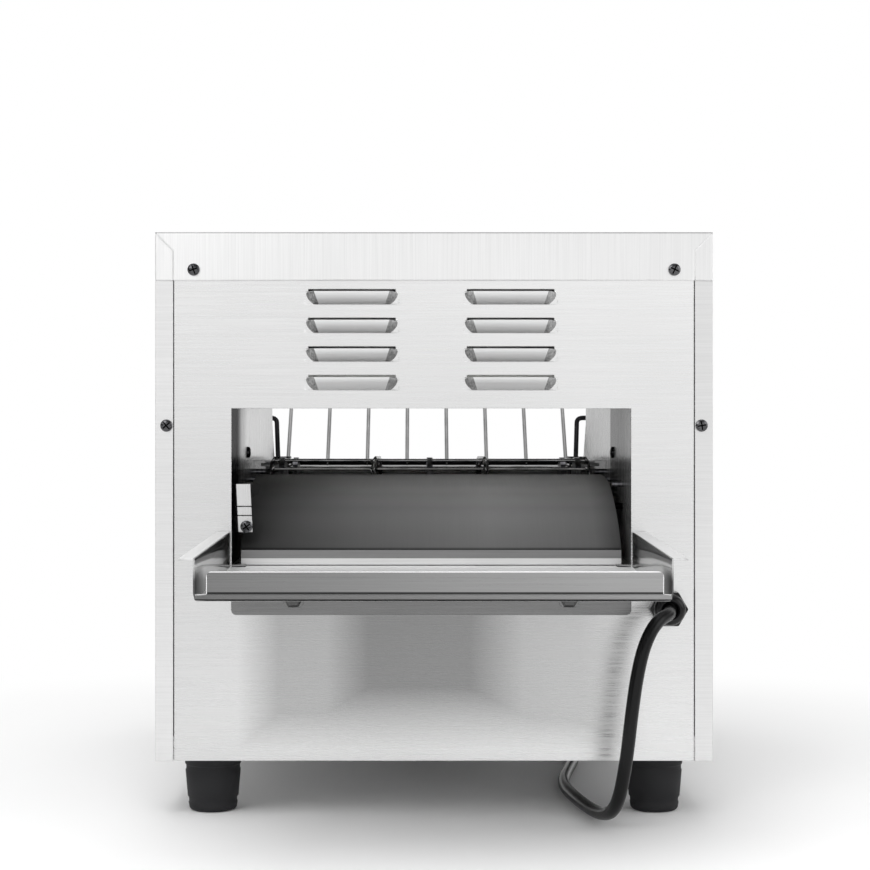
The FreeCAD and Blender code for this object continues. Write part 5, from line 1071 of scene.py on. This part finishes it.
# %% [markdown]
# The gland's nut is a moulded hexagon with a dome that closes on the cord. The hexagon is a
# six-sided cone of one width with bevelled edges, and the dome is a profile on the lathe.

# %% Gland nut
nut = bmesh.new()
hexagon = bmesh.ops.create_cone(nut, cap_ends=True, segments=6, radius1=12.7 * MM,
                                radius2=12.7 * MM, depth=4.2 * MM)["verts"]
turned_back = Matrix.Rotation(math.radians(90), 3, "X") @ Matrix.Rotation(math.radians(30), 3, "Z")
bmesh.ops.rotate(nut, verts=hexagon, cent=(0, 0, 0), matrix=turned_back)
bmesh.ops.translate(nut, verts=hexagon, vec=spot(153.8, -8.1, 138.9))
bmesh.ops.bevel(nut, geom=nut.edges[:], offset=0.7 * MM, segments=2, affect="EDGES", profile=0.5,
                material=-1)
lathe(nut, [(10.4, -10.0), (10.6, -10.6), (10.5, -13.0), (10.0, -15.2), (9.0, -16.8),
            (7.6, -17.8), (6.2, -18), (5.2, -17.6), (4.7, -16.4), (4.6, -10.0)],
      spot(153.8, 0, 138.9), (0, 1, 0), 40)
print("nut faces", len(nut.faces))
shaped("gland_dome_nut", nut, gland_nylon, "casing", ["gland_nut"], 30)

# %% [markdown]
# On the console, dark lines and numbers are printed round each knob, as far round as it turns.
# Each knob has an inlaid white pointer, which stands at 0 while the toaster is off. Print is a
# film a few hundredths of a millimetre thick, so it is a flat sheet just proud of the steel. The
# numbers come from a text object that is turned into a mesh at once.

# %% Printed dials and pointers
print_ink = moulded("screen-printed ink, black", "#1A1A1C", 0.6, 1.0, 0.004)
pointer_paint = moulded("filled enamel, white", "#E9E9E4", 0.4, 1.0, 0.004)
DIALS = ((-95, "speed_dial", 300), (95, "heat_dial", 270))  # middle, body, sweep in degrees
DIAL_HEIGHT, CONSOLE, KNOB_FACE = 96, 406.05, 423.1  # and depths just proud of what they mark
marks = bmesh.new()


def mark(mesh, middle, angle, start, end, width, depth):
    """A short radial line on the console, seen from the front."""
    made = bmesh.ops.create_grid(mesh, x_segments=1, y_segments=1, size=0.5)["verts"]
    bmesh.ops.scale(mesh, verts=made, vec=(width * MM, (end - start) * MM, 1))
    bmesh.ops.translate(mesh, verts=made, vec=(0, (start + end) / 2 * MM, 0))
    stand = (Matrix.Translation(spot(middle, depth, DIAL_HEIGHT))
             @ Matrix.Rotation(math.pi, 4, "Z") @ Matrix.Rotation(math.radians(90), 4, "X")
             @ Matrix.Rotation(-math.radians(angle), 4, "Z"))
    bmesh.ops.transform(mesh, matrix=stand, verts=made)


for middle, _, sweep in DIALS:
    for step in range(19):
        mark(marks, middle, sweep * (step / 18 - 0.5), 22, 27 if step % 3 == 0 else 24.5, 0.6,
             CONSOLE)
for middle, _, sweep in DIALS:
    for number in range(7):
        words = bpy.data.curves.new("number", "FONT")
        words.body, words.size = str(number), 7 * MM
        words.align_x = words.align_y = "CENTER"
        writing = bpy.data.objects.new("number", words)
        angle = math.radians(sweep * (number / 6 - 0.5))
        place = (spot(middle, CONSOLE, DIAL_HEIGHT)
                 + Vector((-math.sin(angle), 0, math.cos(angle))) * 32 * MM)
        stand = (Matrix.Translation(place) @ Matrix.Rotation(math.pi, 4, "Z")
                 @ Matrix.Rotation(math.radians(90), 4, "X"))
        figure = bpy.data.meshes.new_from_object(writing)
        figure.transform(stand)
        marks.from_mesh(figure)
        bpy.data.objects.remove(writing)
print("dial marks", len(marks.faces))
shaped("dial_print", marks, print_ink, "casing")
for middle, body, sweep in DIALS:
    pointer = bmesh.new()
    mark(pointer, middle, -sweep / 2, 5, 16.5, 1.8, KNOB_FACE)
    shaped(f"{body}_pointer", pointer, pointer_paint, body)

# %% [markdown]
# The room is a plain photographer's tent: a white world that metal mirrors, with grey seams at
# both sides and high up, which give each edge and round wire its darker line. Only mirrored rays
# see the seams, and the light that the world sheds is weaker than the white it shows, so that
# pale steel doesn't clip.

# %% White room
world = bpy.data.worlds.new("Tent")
bpy.context.scene.world = world
world.use_nodes = True
tree = world.node_tree
tree.nodes.clear()
rays = node(tree, "ShaderNodeLightPath")
seen = node(tree, "ShaderNodeMath", {0: rays.outputs["Is Camera Ray"],
                                     1: rays.outputs["Is Glossy Ray"]}, operation="MAXIMUM")
seen = node(tree, "ShaderNodeMath", {0: seen.outputs[0],
                                     1: rays.outputs["Is Transmission Ray"]}, operation="MAXIMUM")
towards = node(tree, "ShaderNodeTexCoord").outputs["Generated"]
parts = node(tree, "ShaderNodeSeparateXYZ", {"Vector": towards}).outputs
aside = node(tree, "ShaderNodeMath", {0: parts["X"]}, operation="ABSOLUTE").outputs[0]
side_seams = node(tree, "ShaderNodeValToRGB", {"Fac": aside},
                  ((0.5, "#FFFFFF"), (0.72, "#606060"), (0.88, "#707070"), (1.0, "#C0C0C0")))
above = node(tree, "ShaderNodeValToRGB", {"Fac": parts["Z"]},
             ((0.15, "#000000"), (0.4, "#FFFFFF")))
high_seam = node(tree, "ShaderNodeValToRGB", {"Fac": parts["Z"]},
                 ((0.35, "#FFFFFF"), (0.55, "#989898"), (0.82, "#989898"), (0.96, "#FFFFFF")))
low_seams = node(tree, "ShaderNodeMix", {0: 1.0, 6: side_seams.outputs[0], 7: above.outputs[0]},
                 data_type="RGBA", blend_type="LIGHTEN").outputs[2]
seams = node(tree, "ShaderNodeMix", {0: 1.0, 6: low_seams, 7: high_seam.outputs[0]},
             data_type="RGBA", blend_type="DARKEN").outputs[2]
mirrored = node(tree, "ShaderNodeMix",
                {0: rays.outputs["Is Glossy Ray"], 6: colour("#FFFFFF"), 7: seams},
                data_type="RGBA").outputs[2]
soft = node(tree, "ShaderNodeBackground", {"Color": colour("#FFFFFF"), "Strength": 0.6})
white = node(tree, "ShaderNodeBackground", {"Color": mirrored, "Strength": 1.0})
room = node(tree, "ShaderNodeMixShader",
            {0: seen.outputs[0], 1: soft.outputs[0], 2: white.outputs[0]})
node(tree, "ShaderNodeOutputWorld", {"Surface": room.outputs[0]})
print("room nodes", len(tree.nodes))

# %% [markdown]
# A soft main lamp comes from the upper left behind the camera and a weaker one from the right.
# Two more light the object from above and into the toast tray. These aren't mirrored, because a
# bright square in the steel would give them away.

# %% Lamps


def lamp(name, place, target, size, power, mirrored=True):
    """A square soft box that points at a place; metal mirrors it only if asked."""
    data = bpy.data.lights.new(name, "AREA")
    data.size = size
    data.energy = power
    item = bpy.data.objects.new(name, data)
    item.location = place
    item.rotation_euler = (target - place).to_track_quat("-Z", "Y").to_euler()
    item.visible_glossy = mirrored
    bpy.context.scene.collection.objects.link(item)


middle = spot(0, 150, 200)
lamp("MainLamp", spot(-900, -1100, 1300), middle, 1.1, 9.0)
lamp("SideLamp", spot(1200, -500, 700), middle, 1.0, 4.0)
lamp("TopLamp", spot(0, 300, 1500), middle, 1.2, 6.0, False)
lamp("TrayLamp", spot(-150, -900, 1300), spot(0, -60, 170), 0.9, 9.0, False)
print("lamps", len(bpy.data.lights))

# %% [markdown]
# The floor is pale cloth that keeps the shadow near the feet. From 0.3 to 0.75 m out it fades to
# the room's white, but only for the camera and in mirrors, so that it sheds no light of its own.

# %% Floor
FADE = (0.30, 0.75)
slab = bmesh.new()
bmesh.ops.create_grid(slab, x_segments=1, y_segments=1, size=6.0)
floor_data = bpy.data.meshes.new("floor")
slab.to_mesh(floor_data)
slab.free()
floor = bpy.data.objects.new("floor", floor_data)
bpy.context.scene.collection.objects.link(floor)
floor.location.z = -0.5 * MM
material, tree, shader = finish("tent cloth", "#F4F4F4", 0.0, 0.8)
place = node(tree, "ShaderNodeTexCoord").outputs["Object"]
away = node(tree, "ShaderNodeVectorMath", {0: place}, operation="LENGTH").outputs["Value"]
fade = node(tree, "ShaderNodeMapRange", {"Value": away, "From Min": FADE[0], "From Max": FADE[1]},
            interpolation_type="SMOOTHSTEP").outputs[0]
rays = node(tree, "ShaderNodeLightPath")
seen = node(tree, "ShaderNodeMath", {0: rays.outputs["Is Camera Ray"],
                                     1: rays.outputs["Is Glossy Ray"]}, operation="MAXIMUM")
share = node(tree, "ShaderNodeMath", {0: seen.outputs[0], 1: fade}, operation="MULTIPLY")
glow = node(tree, "ShaderNodeEmission", {"Color": colour("#FFFFFF"), "Strength": 1.0})
cloth = node(tree, "ShaderNodeMixShader", {0: share.outputs[0], 1: shader.outputs[0],
                                           2: glow.outputs[0]})
output = [item for item in tree.nodes if item.bl_idname == "ShaderNodeOutputMaterial"][0]
tree.links.new(cloth.outputs[0], output.inputs["Surface"])
floor_data.materials.append(material)
